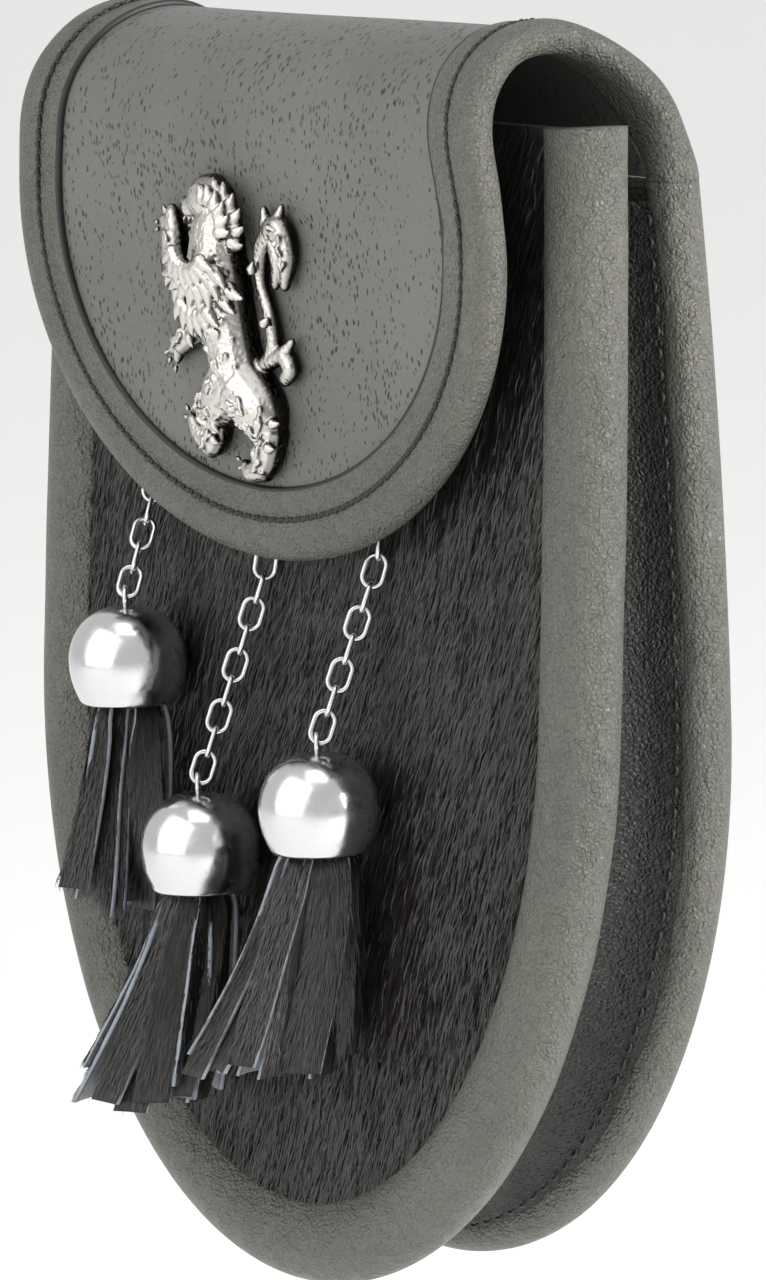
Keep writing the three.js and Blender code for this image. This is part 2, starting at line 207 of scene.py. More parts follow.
def noise(tree, vector, scale, detail=3.0, roughness=0.5):
    """A soft noise, 0 to 1."""
    inputs = {"Vector": vector, "Scale": scale, "Detail": detail, "Roughness": roughness}
    return node(tree, "ShaderNodeTexNoise", inputs).outputs["Fac"]


def cells(tree, vector, scale, feature="F1"):
    """Distance to the nearest cell centre, or to the cell edge."""
    return node(tree, "ShaderNodeTexVoronoi", {"Vector": vector, "Scale": scale}, feature=feature).outputs["Distance"]


def ramp(tree, value, stops):
    """A colour ramp with (position, colour) stops."""
    made = node(tree, "ShaderNodeValToRGB", {"Fac": value})
    elements = made.color_ramp.elements
    while len(elements) < len(stops):
        elements.new(0.5)
    for element, (position, color) in zip(elements, stops):
        element.position = position
        element.color = (*color, 1)
    return made.outputs["Color"]


def remap(tree, value, low, high, out_low=0.0, out_high=1.0):
    """Clamped straight-line change of range; any of the numbers may be a socket."""
    inputs = {"Value": value, "From Min": low, "From Max": high, "To Min": out_low, "To Max": out_high}
    return node(tree, "ShaderNodeMapRange", inputs).outputs["Result"]


def maths(tree, operation, a, b):
    """One arithmetic step on two values."""
    return node(tree, "ShaderNodeMath", {0: a, 1: b}, operation=operation).outputs["Value"]


def mix(tree, factor, a, b, blend="MIX"):
    """Mixes two colour sockets; the Mix node's colours are its inputs 6 and 7, and its output 2."""
    return node(tree, "ShaderNodeMix", {0: factor, 6: a, 7: b}, data_type="RGBA", blend_type=blend).outputs[2]


def bump(tree, shader, heights):
    """Chains bumps of (height, depth in metres, strength) into the shader's normal."""
    normal = None
    for height, depth, strength in heights:
        inputs = {"Height": height, "Distance": depth, "Strength": strength}
        if normal is not None:
            inputs["Normal"] = normal
        normal = node(tree, "ShaderNodeBump", inputs).outputs["Normal"]
    tree.links.new(normal, shader.inputs["Normal"])


# %% [markdown]
# ### Grey leather of the rims
# Soft calf leather pulled over padding: pebble grain about half a millimetre across, with wrinkles of two or
# three millimetres where it turns. The low places are a little darker: painted shade.


# %% Grey leather
def grain_leather(name, light, dark, roughness, wrinkle=0.9):
    """Leather with pebble grain, wrinkles, and colour darkened by painted shade in the low places."""
    material, tree, shader = new_material(name, light, roughness)
    place = place_vector(tree)
    pebbles = remap(tree, cells(tree, place, 1150, "DISTANCE_TO_EDGE"), 0.0, 0.30)
    crease_height = remap(tree, noise(tree, place, 330, 4, 0.66), 0.34, 0.60)
    soft = noise(tree, place, 60, 3)
    patches = noise(tree, place, 22, 2)
    base = ramp(tree, patches, [(0.25, dark), (0.75, light)])
    # Painted shade: the colour is darkened in the wrinkles and between the pebbles.
    shade = maths(tree, "MULTIPLY", remap(tree, crease_height, 0, 1, 0.90, 1.0), remap(tree, pebbles, 0, 1, 0.88, 1.0))
    shade_color = node(tree, "ShaderNodeCombineColor", {0: shade, 1: shade, 2: shade}).outputs[0]
    color = mix(tree, 1.0, base, shade_color, "MULTIPLY")
    tree.links.new(color, shader.inputs["Base Color"])
    rough = remap(tree, noise(tree, place, 300, 2), 0.3, 0.7, roughness - 0.07, roughness + 0.08)
    tree.links.new(rough, shader.inputs["Roughness"])
    bump(tree, shader, [(soft, 0.0012, 0.4), (crease_height, 0.00055, wrinkle), (pebbles, 0.00022, 0.75)])
    return material


rim_leather = grain_leather("grey_leather", (0.135, 0.132, 0.112), (0.098, 0.096, 0.082), 0.44, 0.8)
back_leather = grain_leather("back_leather", (0.10, 0.098, 0.084), (0.075, 0.073, 0.064), 0.52, 0.5)
gusset_leather = grain_leather("gusset_leather", (0.016, 0.014, 0.012), (0.008, 0.007, 0.006), 0.5, 0.5)


# %% [markdown]
# ### Pigskin
# Pigskin shows the pores of its bristles: short dark dashes, all pointing the same way, in loose groups.
# They lie on the flap's own UV map, so that they follow the leather over the fold.


# %% Pigskin
def pigskin_material():
    """Smooth grey leather with dash-shaped pores: stretched cells, kept where a second noise is high."""
    material, tree, shader = new_material("pigskin", (0.25, 0.25, 0.225), 0.43)
    place = place_vector(tree, source="UV")
    bend = noise(tree, place, 9, 2)
    wander = node(tree, "ShaderNodeCombineXYZ", {0: maths(tree, "MULTIPLY", bend, 0.06), 1: 0.0, 2: 0.0}).outputs[0]
    moved = node(tree, "ShaderNodeVectorMath", {0: place, 1: wander}, operation="ADD").outputs["Vector"]
    stretched = node(tree, "ShaderNodeMapping", {"Vector": moved, "Scale": (150, 62, 1)})
    near = node(tree, "ShaderNodeTexVoronoi", {"Vector": stretched.outputs["Vector"], "Scale": 1.0, "Randomness": 1.0})
    chance = node(tree, "ShaderNodeSeparateColor", {0: near.outputs["Color"]}).outputs[0]
    group = noise(tree, place, 6, 2)
    threshold = remap(tree, maths(tree, "ADD", maths(tree, "MULTIPLY", chance, 0.35), group), 0.46, 0.80, 0.10, 0.40)
    pore = remap(tree, near.outputs["Distance"], 0.0, threshold, 1.0, 0.0)
    fine = cells(tree, place_vector(tree), 1700)
    clouds = noise(tree, place_vector(tree), 30, 3)
    base = ramp(tree, clouds, [(0.3, (0.105, 0.104, 0.096)), (0.7, (0.132, 0.131, 0.121))])
    dark = ramp(tree, pore, [(0.0, (1, 1, 1)), (0.35, (0.30, 0.30, 0.30)), (1.0, (0.10, 0.10, 0.10))])
    color = mix(tree, 1.0, base, dark, "MULTIPLY")
    tree.links.new(color, shader.inputs["Base Color"])
    pit = maths(tree, "SUBTRACT", 1.0, pore)
    bump(tree, shader, [(clouds, 0.0008, 0.3), (pit, 0.0003, 0.8), (fine, 0.00014, 0.5)])
    return material


pigskin = pigskin_material()
# Near black: the painted shadow in the step at the cut edge of the flap's rim.
step_shadow, _, _ = new_material("step_shadow", (0.012, 0.011, 0.011), 0.5)


# %% [markdown]
# ### Hair, hide, thread and metal
# Hair is near black with a gloss, and each hair has its own brightness, kept in the "tone" attribute.
# Suede is matt with a soft sheen. Thread is waxed black. The metals are polished, with faint wear in the gloss.


# %% Other materials
def hair_material(name, dark, light, roughness):
    """Hair whose colour runs from dark to light with the attribute tone."""
    material, tree, shader = new_material(name, dark, roughness, specular=0.6)
    tone = node(tree, "ShaderNodeAttribute", attribute_name="tone").outputs["Fac"]
    streak = noise(tree, place_vector(tree), 90, 2)
    share = maths(tree, "MULTIPLY", tone, remap(tree, streak, 0.3, 0.7, 0.5, 1.2))
    tree.links.new(ramp(tree, share, [(0.0, dark), (1.0, light)]), shader.inputs["Base Color"])
    return material


def streaked_material(name, dark, light, roughness, turn):
    """Skin seen between the hairs: long streaks that follow the hair."""
    material, tree, shader = new_material(name, dark, roughness)
    lines = noise(tree, place_vector(tree, (1, 1, 0.06), (0, turn, 0)), 1800, 3, 0.6)
    tree.links.new(ramp(tree, lines, [(0.35, dark), (0.7, light)]), shader.inputs["Base Color"])
    bump(tree, shader, [(lines, 0.0004, 0.7)])
    return material


def suede_material():
    """Grey-blue flesh side of hide: fine mottling and a soft sheen."""
    material, tree, shader = new_material("suede", (0.12, 0.13, 0.15), 0.92, specular=0.2)
    shader.inputs["Sheen Weight"].default_value = 0.5
    nap = noise(tree, place_vector(tree), 1100, 4, 0.7)
    color = ramp(tree, nap, [(0.3, (0.05, 0.055, 0.065)), (0.75, (0.21, 0.225, 0.25))])
    tree.links.new(color, shader.inputs["Base Color"])
    bump(tree, shader, [(nap, 0.0003, 0.8)])
    return material


def metal_material(name, light, recess, roughness, stipple=0):
    """Polished metal: recesses, given by the attribute tone, are darker and duller, with faint wear all over. On the
    badge, tone also carries a painted highlight.
    """
    material, tree, shader = new_material(name, light, roughness, metallic=1.0)
    tone = node(tree, "ShaderNodeAttribute", attribute_name="tone").outputs["Fac"]
    tree.links.new(ramp(tree, tone, [(0.0, recess), (0.55, light)]), shader.inputs["Base Color"])
    wear = noise(tree, place_vector(tree), 420, 3, 0.6)
    tree.links.new(remap(tree, wear, 0.35, 0.7, roughness * 0.7, roughness * 1.5), shader.inputs["Roughness"])
    heights = [(wear, 0.00003, 0.25)]
    if stipple:
        heights.append((remap(tree, cells(tree, place_vector(tree), stipple), 0.1, 0.6), 0.00016, 0.45))
    bump(tree, shader, heights)
    return material


front_hair = hair_material("front_hair", (0.003, 0.0026, 0.0024), (0.046, 0.039, 0.034), 0.40)
tassel_hair = hair_material("tassel_hair", (0.003, 0.0028, 0.0027), (0.062, 0.056, 0.051), 0.42)
hide_skin = streaked_material("hide_skin", (0.006, 0.005, 0.005), (0.035, 0.03, 0.028), 0.6, 0.3)
strip_hair_side = streaked_material("strip_hair_side", (0.004, 0.004, 0.004), (0.028, 0.026, 0.025), 0.5, 0.1)
suede = suede_material()
suede_edge, _, _ = new_material("suede_edge", (0.30, 0.33, 0.37), 0.95, specular=0.2)
thread, _, _ = new_material("thread", (0.012, 0.012, 0.013), 0.45)
chrome = metal_material("chrome", (0.66, 0.66, 0.67), (0.5, 0.5, 0.5), 0.2)
pewter = metal_material("pewter", (0.60, 0.58, 0.54), (0.02, 0.018, 0.016), 0.24, 1150)

# %% [markdown]
# ## The pouch's outline
# Front and back share one outline: straight-sided above, half an ellipse below. A rim is that outline walked
# from its right end, round the bottom, to its left end, with the outward direction kept at each point.
# The front leans back at its top, and the flap is wrapped over an elliptical fold.

# %% Outline numbers
BODY = {"half_width": 72, "round_height": 95, "top": 188, "front_taper": 2.5, "back_taper": 6, "back_top": 178}
# The back's outline is carried up past its top by this much, in mm. The rim laps the flap's foot by it. The back
# sheet's inset takes it back again, so that a gap of about 0.4 mm stays open under the flap's foot.
SEAM_LAP = 0.8
FRONT = {"y": -35.2, "lean": 0.068, "hide": 3.4, "rim_width": 13, "rim_bulge": 2.6, "rim_depth": 6.8}
FLAP = {"top": 202, "front": -37.4, "arch_end": 184, "tip": 117, "tip_y": -35, "sheet": 2.4, "half_width": 61.8,
        "neck": 55.5, "round": 53.5}


def smoothstep(t):
    """0 to 1, with a level start and end."""
    t = np.clip(t, 0, 1)
    return t ** 2 * (3 - 2 * t)


def catmull(a, b, c, d, f):
    """The smooth curve between b and c at share f, with neighbours a and d: Catmull-Rom."""
    return 0.5 * (2 * b + (c - a) * f + (2 * a - 5 * b + 4 * c - d) * f ** 2 + (3 * b - a - 3 * c + d) * f ** 3)


def rim_of(ends, centre, half_width, round_height, side, side_steps, round_steps):
    """Walks x = side(v) down to the centre line, then half an ellipse, then up the other side.
    Returns x, v and the outward direction (nx, nv) at each point."""
    v = np.linspace(ends, centre, side_steps, endpoint=False)
    slope = side(v + 0.5) - side(v - 0.5)
    turn = np.hypot(1, slope)
    angle = np.linspace(0, np.pi, round_steps)
    nx, nv = np.cos(angle) / half_width, -np.sin(angle) / round_height
    size = np.hypot(nx, nv)
    x = np.concatenate([side(v), half_width * np.cos(angle), -side(v)[::-1]])
    way = np.concatenate([v, centre - round_height * np.sin(angle), v[::-1]])
    out_x = np.concatenate([1 / turn, nx / size, -(1 / turn)[::-1]])
    out_v = np.concatenate([-slope / turn, nv / size, (-slope / turn)[::-1]])
    return {"x": x, "v": way, "nx": out_x, "nv": out_v}


def body_rim(top, taper, side_steps=70, round_steps=190):
    """The body's outline up to a height: the sides draw in by taper times the square of the height's share."""
    def side(z):
        return BODY["half_width"] - taper * ((z - BODY["round_height"]) / BODY["round_height"]) ** 2
    return rim_of(top, BODY["round_height"], BODY["half_width"], BODY["round_height"], side, side_steps, round_steps)


def on_front(x, z, up):
    """A point on the leaning front; up is measured towards the wearer."""
    return np.stack(np.broadcast_arrays(x, FRONT["y"] + FRONT["lean"] * z + up, z), axis=-1)


def on_back(x, z, up):
    """A point on the flat back."""
    return np.stack(np.broadcast_arrays(x, up + 0 * z, z), axis=-1)


# %% [markdown]
# ### The flap's fold
# The flap's middle line starts above the back panel, rises over the fold and runs down the front. Any point of
# the flap is then given by its distance left to the tip, its place across, and its height off the sheet.

# %% Fold line
half_arch = (-FLAP["front"] - FLAP["sheet"]) / 2
arch = np.linspace(0, np.pi, 81)
arch_foot = np.where(arch < np.pi / 2, BODY["back_top"] + 2.3, FLAP["arch_end"])
arch_y = -FLAP["sheet"] / 2 - half_arch + half_arch * np.cos(arch)
arch_z = arch_foot + (FLAP["top"] - FLAP["sheet"] / 2 - arch_foot) * np.sin(arch) ** 0.9
leg_y = np.linspace(arch_y[-1], FLAP["tip_y"] + FLAP["sheet"] / 2, 40)[1:]
leg_z = np.linspace(FLAP["arch_end"], FLAP["tip"], 40)[1:]
line_y = np.concatenate([[-FLAP["sheet"] / 2], arch_y, leg_y])
line_z = np.concatenate([[BODY["back_top"] + 0.3], arch_z, leg_z])
line_way = np.concatenate([[0], np.cumsum(np.hypot(np.diff(line_y), np.diff(line_z)))])
fold_length = line_way[-1]
leg_length = math.hypot(leg_y[-1] - arch_y[-1], leg_z[-1] - arch_z[-1])
arch_length = fold_length - 2 - leg_length


def line_at(way):
    """(y, z) of the flap's middle line at a distance along it, straight on past its ends."""
    return np.interp(way, line_way, line_y), np.interp(way, line_way, line_z)


def on_flap(x, v, up):
    """A point on the flap: v is the way left to the tip, up the distance out from the sheet's middle."""
    way = np.clip(fold_length - v, 0, fold_length)
    y, z = line_at(way)
    y0, z0 = line_at(way - 2.0)
    y1, z1 = line_at(way + 2.0)
    size = np.hypot(y1 - y0, z1 - z0) + 1e-9
    ty, tz = (y1 - y0) / size, (z1 - z0) / size
    past = np.maximum(-v, 0)
    return np.stack(np.broadcast_arrays(x, y + tz * up + ty * past, z - ty * up + tz * past), axis=-1)


def flap_side(v):
    """Half-width of the flap: as wide as the back at its foot, narrow over the fold, wide again in front."""
    way = fold_length - v
    middle = 2 + arch_length / 2
    height_share = (BODY["back_top"] - BODY["round_height"]) / BODY["round_height"]
    foot = BODY["half_width"] - BODY["back_taper"] * height_share ** 2
    rise = foot + (FLAP["neck"] - foot) * smoothstep(way / middle)
    front_share = (way - middle) / (fold_length - FLAP["round"] - middle)
    in_front = FLAP["neck"] + (FLAP["half_width"] - FLAP["neck"]) * smoothstep(front_share)
    return np.where(way < middle, rise, in_front)


flap_rim = rim_of(fold_length, FLAP["round"], FLAP["half_width"], FLAP["round"], flap_side, 120, 150)
print("flap length", round(fold_length, 1), "mm, fold", round(arch_length, 1), "mm")


# %% [markdown]
# ## Padded rims
# A rim is a strip of leather pulled over a cord of padding and sewn down. Its section, a closed outline, is
# carried along the outline of the panel. Small slow waves in its thickness keep it from looking machined.


# %% Sweep a section along a rim
def waves(length, count, size, seed):
    """Slow random waves along a rim: a sum of sines with falling size."""
    local = np.random.default_rng(seed)
    s = np.linspace(0, 1, length)
    k = np.arange(2, count)
    phase = local.uniform(0, 2 * np.pi, len(k))
    return size * (np.sin(2 * np.pi * s[:, None] * k + phase) / np.sqrt(k)).sum(1)


def sweep(rim, across, up, place, swell=None):
    """Each rim point carries the section (across, up): across follows the outward direction.
    The section may be one outline, or one for each rim point."""
    gain = 1 + (0 if swell is None else swell[:, None])
    across, up = np.atleast_2d(across), np.atleast_2d(up)
    x = rim["x"][:, None] + across * rim["nx"][:, None]
    v = rim["v"][:, None] + across * rim["nv"][:, None]
    return place(x, v, up * gain)


def smooth_section(points, count=40):
    """A closed smooth curve through a few (across, up) points: periodic Catmull-Rom."""
    p = np.array(points, dtype=float)
    n = len(p)
    t = np.linspace(0, n, count, endpoint=False)
    i = t.astype(int)
    f = (t - i)[:, None]
    a, b, c, d = (p[(i + k) % n] for k in (-1, 0, 1, 2))
    curve = catmull(a, b, c, d, f)
    return curve[:, 0], curve[:, 1]


# %% [markdown]
# ### Front rim
# The front's rim is the widest: it bulges forward beside the hair, turns the corner and is cut square at the top.

# %% Front rim
W, B, D = FRONT["rim_width"], FRONT["rim_bulge"], FRONT["rim_depth"]
front_section = smooth_section(
    [(-W - 0.4, 0.9), (-W * 0.93, -B * 0.35), (-W * 0.72, -B * 0.92), (-W * 0.45, -B * 1.05), (-W * 0.2, -B * 0.55),
     (-0.5, 0.9), (0.1, 3.3), (-0.4, 5.6), (-1.6, D - 0.1), (-W * 0.35, D - 0.2), (-W * 0.6, D * 0.75), (-W, 3.6)], 48)
front_path = body_rim(BODY["top"], BODY["front_taper"])
front_swell = waves(len(front_path["x"]), 26, 0.012, 3)
front_rim = tube_piece("front_rim", sweep(front_path, *front_section, on_front, front_swell))
finish_piece(front_rim, ["front_binding"], [rim_leather])

# %% [markdown]
# ### Back rim
# The back's rim is a plain roll that stands a little proud of the back panel.

# %% Back rim
roll = [(-8.2, -3.2), (-7.2, -5.6), (-4.6, -6.9), (-1.8, -6.2), (-0.2, -3.8),
        (-0.3, -1.2), (-2.0, 0.4), (-5.0, 0.5), (-7.6, -0.6)]
back_section = smooth_section(roll, 36)
back_path = body_rim(BODY["back_top"] + SEAM_LAP, BODY["back_taper"])
back_swell = waves(len(back_path["x"]), 24, 0.015, 5)
back_rim = tube_piece("back_rim", sweep(back_path, *back_section, on_back, back_swell))
finish_piece(back_rim, ["back_binding"], [rim_leather])

# %% [markdown]
# ### Flap rim
# The flap's rim has a round outer roll and a flat inner part that laps over the pigskin and ends in a cut edge.

# %% Flap rim
flap_section = smooth_section(
    [(-11.6, 1.25), (-11.5, 2.05), (-10.2, 2.15), (-7.6, 2.15), (-5.6, 2.55), (-3.2, 2.75), (-1.0, 1.9), (-0.1, 0.1),
     (-1.0, -1.8), (-3.4, -2.6), (-6.5, -2.5), (-9.6, -2.2), (-11.3, -1.7), (-11.5, -1.3)], 52)
flap_swell = waves(len(flap_rim["x"]), 26, 0.02, 11)
# Towards its foot the section turns into the back rim's roll, since the real strip runs on round the back.
foot_roll = smooth_section([(a, u + FLAP["sheet"] / 2) for a, u in roll[::-1]], 52)
FOOT_BLEND = 16  # the length of flap over which the section turns, in mm
foot_share = smoothstep(1 - (fold_length - flap_rim["v"]) / FOOT_BLEND)[:, None]
flap_sections = [f[None] * (1 - foot_share) + b[None] * foot_share for f, b in zip(flap_section, foot_roll)]
flap_edge = tube_piece("flap_rim", sweep(flap_rim, *flap_sections, on_flap, flap_swell * (1 - foot_share[:, 0])))
finish_piece(flap_edge, ["flap_binding"], [rim_leather])

# %% [markdown]
# A thin near-black cord runs along the cut edge of the flap's rim, just proud of the step. It is painted
# shadow: it stands for the dark line of shade in the step between the rim and the pigskin.

# %% Painted step shadow
edge_section = smooth_section([(-12.05, 1.1), (-12.0, 1.9), (-11.6, 2.12), (-11.1, 1.9), (-11.2, 1.2)], 12)
edge_line = tube_piece("flap_step_shadow", sweep({k: v[14:-14] for k, v in flap_rim.items()}, *edge_section, on_flap))
finish_piece(edge_line, [], [step_shadow])


# %% [markdown]
# ## Panels
# A panel fills the inside of its rim. Rows run from the top down to the rounded end, and each row stretches
# from one side to the other, so that the panel meets the rim's inner edge all the way.


# %% Panel grid
UV_SIZE = 100  # millimetres of leather for one unit of the UV map
FULL_TURN = 6.28


def panel_rows(rim, inset, rows, columns):
    """Half of a rim, moved inwards, gives each row's half-width; each row is a line of even steps across."""
    half = rim["x"] >= -1e-6
    x = (rim["x"] - inset * rim["nx"])[half]
    v = (rim["v"] - inset * rim["nv"])[half]
    keep = np.unique(np.linspace(0, len(x) - 1, rows).astype(int))
    share = np.linspace(-1, 1, columns)
    return np.maximum(x[keep], 0.02)[:, None] * share[None], v[keep][:, None] + 0 * share[None]


def panel(name, rim, inset, low, high, place, rows=120, columns=60, wave=0.0, seed=0):
    """A closed slab between two heights over the inside of a rim, with a slow wave in its face."""
    x, v = panel_rows(rim, inset, rows, columns)
    local = np.random.default_rng(seed)
    a, b, c, d = local.uniform(0, FULL_TURN, 4)
    lift = wave * (np.sin(x / 17 + a) * np.sin(v / 23 + b) + 0.5 * np.sin(x / 9 + c) * np.sin(v / 11 + d))
    front = place(x, v, np.full_like(x, low) + lift)
    rear = place(x, v, np.full_like(x, high) + lift)
    made = tube_piece(name, slab_grid(front, rear))
    set_uv(made, slab_grid(x, x) / UV_SIZE, slab_grid(v, v) / UV_SIZE)
    return made


flap_sheet = panel("flap_sheet", flap_rim, inset=11.2, low=-FLAP["sheet"] / 2, high=FLAP["sheet"] / 2, place=on_flap,
                   rows=170, columns=70, wave=0.12, seed=4)
finish_piece(flap_sheet, ["flap_panel"], [pigskin])
back_sheet = panel("back_sheet", back_path, inset=7.8, low=-3, high=0, place=on_back, rows=110, columns=40, seed=5)
finish_piece(back_sheet, ["back_panel"], [back_leather])
front_skin = panel("front_skin", front_path, inset=12.6, low=0.6, high=FRONT["hide"], place=on_front,
                   rows=120, columns=50, seed=6)
finish_piece(front_skin, ["front_hide"], [hide_skin])

# %% [markdown]
# ### Gusset
# The gusset is one thin strip that folds inwards like bellows between front and back.

# %% Gusset
gusset_path = body_rim(BODY["back_top"] - 2, BODY["back_taper"])


def on_gusset(x, z, up):
    """up runs from 0 at the front rim's rear edge to 1 at the back rim."""
    start = FRONT["y"] + FRONT["lean"] * z + FRONT["rim_depth"] - 0.4
    return np.stack(np.broadcast_arrays(x, start + (-6.5 - start) * up, z), axis=-1)


fold_profile = [(-2.5, 0.0), (-6.5, 0.16), (-9.6, 0.36), (-10.5, 0.54), (-8.8, 0.74), (-5.6, 0.90), (-3.6, 1.0)]
inner_profile = [(a - 1.3, u) for a, u in fold_profile[::-1]]
gusset_section = smooth_section(fold_profile + inner_profile, 44)
gusset_wave = waves(len(gusset_path["x"]), 30, 0.02, 8)
gusset = tube_piece("gusset_fold", sweep(gusset_path, *gusset_section, on_gusset, gusset_wave))
finish_piece(gusset, ["gusset"], [gusset_leather])


# %% [markdown]
# ## Stitching
# Thread shows as short slanted stitches that sink at both ends. One stitch is a bent oval; numpy copies it to
# every place along a line, so that the whole seam is one mesh.


# %% Stitch seams
def stitch_shape(length, radius, around=8, along=7):
    """A capsule along its own x that bends down at its ends: z = -depth * x^2."""
    t = np.linspace(-1, 1, along)
    r = radius * np.sqrt(np.clip(1 - t ** 4, 0.02, 1))
    a = np.linspace(0, 2 * np.pi, around, endpoint=False)
    x = np.repeat(t * length / 2, around)
    y = (r[:, None] * np.cos(a)).ravel()
    z = (r[:, None] * np.sin(a) - radius * 1.2 * t[:, None] ** 2).ravel()
    return np.stack([x, y, z], axis=1), grid_quads(along, around, True), end_faces(along, around)


def copy_shape(shape, centres, along, side, out):
    """Copies a shape to each centre: its x, y and z follow the given directions."""
    points, quads, ends = shape
    directions = np.stack([along, side, out], axis=1)
    placed = centres[:, None] + np.einsum("pi,cij->cpj", points, directions)
    offsets = (np.arange(len(centres)) * len(points))[:, None, None]
    faces = (quads[None] + offsets).reshape(-1, 4).tolist()
    for end in ends:
        faces += (np.array(end)[None] + offsets[:, 0]).tolist()
    return placed.reshape(-1, 3), faces


def distances(line):
    """The way walked along a line up to each of its points."""
    return np.concatenate([[0], np.cumsum(np.linalg.norm(np.diff(line, axis=0), axis=1))])


def points_at(values, way, at):
    """Points of a line at given distances along it."""
    return np.stack([np.interp(at, way, values[:, i]) for i in range(3)], axis=1)


def unit(vectors):
    """Each row scaled to length one."""
    return vectors / np.linalg.norm(vectors, axis=1, keepdims=True)


def even_places(rim, inset, up, place, pitch):
    """Points at an even pitch along a rim's inset line, with the directions along it and off the leather."""
    x, v = rim["x"] + inset * rim["nx"], rim["v"] + inset * rim["nv"]
    line = place(x, v, np.full_like(x, up))
    higher = place(x, v, np.full_like(x, up + 1.0))
    way = distances(line)
    at = np.arange(pitch, way[-1] - pitch / 2, pitch)
    here = points_at(line, way, at)
    out = unit(points_at(higher, way, at) - here)
    along = unit(points_at(line, way, at + pitch * 0.3) - points_at(line, way, at - pitch * 0.3))
    return here, along, np.cross(out, along), out


def seam(name, rim, inset, up, place, pitch, length, radius, slant):
    """A row of stitches, each turned by slant from the line, and a thin cross tick at each hole."""
    here, along, side, out = even_places(rim, inset, up, place, pitch)
    c, s = math.cos(slant), math.sin(slant)
    a, b = along * c + side * s, side * c - along * s
    long_points, long_faces = copy_shape(stitch_shape(length, radius), here, a, b, out)
    tick = here + along * pitch / 2 - out * 0.05
    tick_points, tick_faces = copy_shape(stitch_shape(length * 0.62, radius * 0.8), tick, b, -a, out)
    faces = long_faces + [[i + len(long_points) for i in f] for f in tick_faces]
    made = new_mesh(name, np.concatenate([long_points, tick_points]), faces)
    return finish_piece(made, [], [thread])


seam("flap_stitches", flap_rim, inset=-6.9, up=2.42, place=on_flap, pitch=2.2, length=2.1, radius=0.42, slant=0.2)

# The gusset's stitches follow its outer face, close to the back rim.
GUSSET_SEAM = {"inset": 5.0, "up": 0.90, "end": 3, "pitch": 3.4, "length": 2.2, "radius": 0.36, "proud": 0.25}
seam_x = gusset_path["x"] - GUSSET_SEAM["inset"] * gusset_path["nx"]
seam_v = gusset_path["v"] - GUSSET_SEAM["inset"] * gusset_path["nv"]
seam_line = on_gusset(seam_x, seam_v, GUSSET_SEAM["up"] + 0 * seam_x)
seam_way = distances(seam_line)
seam_at = np.arange(GUSSET_SEAM["end"], seam_way[-1] - GUSSET_SEAM["end"], GUSSET_SEAM["pitch"])
seam_here = points_at(seam_line, seam_way, seam_at)
seam_along = unit(points_at(seam_line, seam_way, seam_at + 0.5) - seam_here)
seam_out = np.cross(seam_along, [0, 1.0, 0])
seam_out *= np.sign((seam_out * (seam_here - [0, 0, BODY["round_height"]])).sum(1, keepdims=True))
seam_stitch = stitch_shape(GUSSET_SEAM["length"], GUSSET_SEAM["radius"])
points, faces = copy_shape(seam_stitch, seam_here + GUSSET_SEAM["proud"] * seam_out,
                           seam_along, np.cross(seam_out, seam_along), seam_out)
finish_piece(new_mesh("gusset_stitches", points, faces), [], [thread])


# %% [markdown]
# ## Hair
# Each hair is a narrow tapered blade: five points and three faces. All the hairs are worked out together from
# arrays of roots, directions and lengths, then put into one mesh.


# %% Blades of hair
def hairs(name, root, lean, lift, width, material, tone, nodes=()):
    """Blades from root: the middle lies at root + 0.5 lean + lift, the tip at root + lean + 0.35 lift.
    width is the blade's half-width direction."""
    middle = root + 0.5 * lean + lift
    tip = root + lean + 0.35 * lift
    points = np.stack([root - width, root + width, middle + 0.8 * width, middle - 0.8 * width, tip], axis=1)
    count = len(root)
    base = np.arange(count)[:, None] * 5
    quads = (base + np.array([[0, 1, 2, 3]])).tolist()
    tips = (base + np.array([[3, 2, 4]])).tolist()
    made = new_mesh(name, points.reshape(-1, 3), quads + tips)
    set_tone(made, np.repeat(tone, 5))
    return finish_piece(made, nodes, [material])


def smooth_field(x, z, seed, scale):
    """A slow random field over the front: a few sines in random directions."""
    local = np.random.default_rng(seed)
    total = 0
    for _ in range(5):
        direction, phase = local.uniform(0, FULL_TURN), local.uniform(0, FULL_TURN)
        total = total + np.sin((x * np.cos(direction) + z * np.sin(direction)) / scale + phase)
    return total / 5


# %% [markdown]
# ### Front hair
# The front is short hair combed down and slightly to one side. Roots are scattered over the panel, thrown
# away where they fall outside it, and the direction drifts slowly so that the coat parts into streaks.

# %% Front hair
HAIRS = 64000
HAIR_INSET = 12.4  # from the body's outline to the outermost roots, in mm
x = rng.uniform(-61, 61, HAIRS * 2)
z = rng.uniform(8, BODY["top"] - 1, HAIRS * 2)
inner_half, inner_round = BODY["half_width"] - HAIR_INSET, BODY["round_height"] - HAIR_INSET
below = np.clip((BODY["round_height"] - z) / inner_round, 0, 1)
side_limit = inner_half - 2.2 * ((z - BODY["round_height"]) / BODY["round_height"]) ** 2
limit = np.where(z > BODY["round_height"], side_limit, inner_half * np.sqrt(1 - below ** 2))
keep = np.abs(x) < limit
x, z = x[keep][:HAIRS], z[keep][:HAIRS]
turn = 0.30 + 0.22 * smooth_field(x, z, 2, 16) + 0.10 * rng.normal(size=len(x))
length = rng.uniform(5.5, 9.5, len(x)) * np.clip((z - 10) / 12, 0.45, 1)
lean = np.stack([-np.sin(turn), np.full_like(x, 0.0), -np.cos(turn)], axis=1) * length[:, None]
lean[:, 1] = FRONT["lean"] * lean[:, 2]
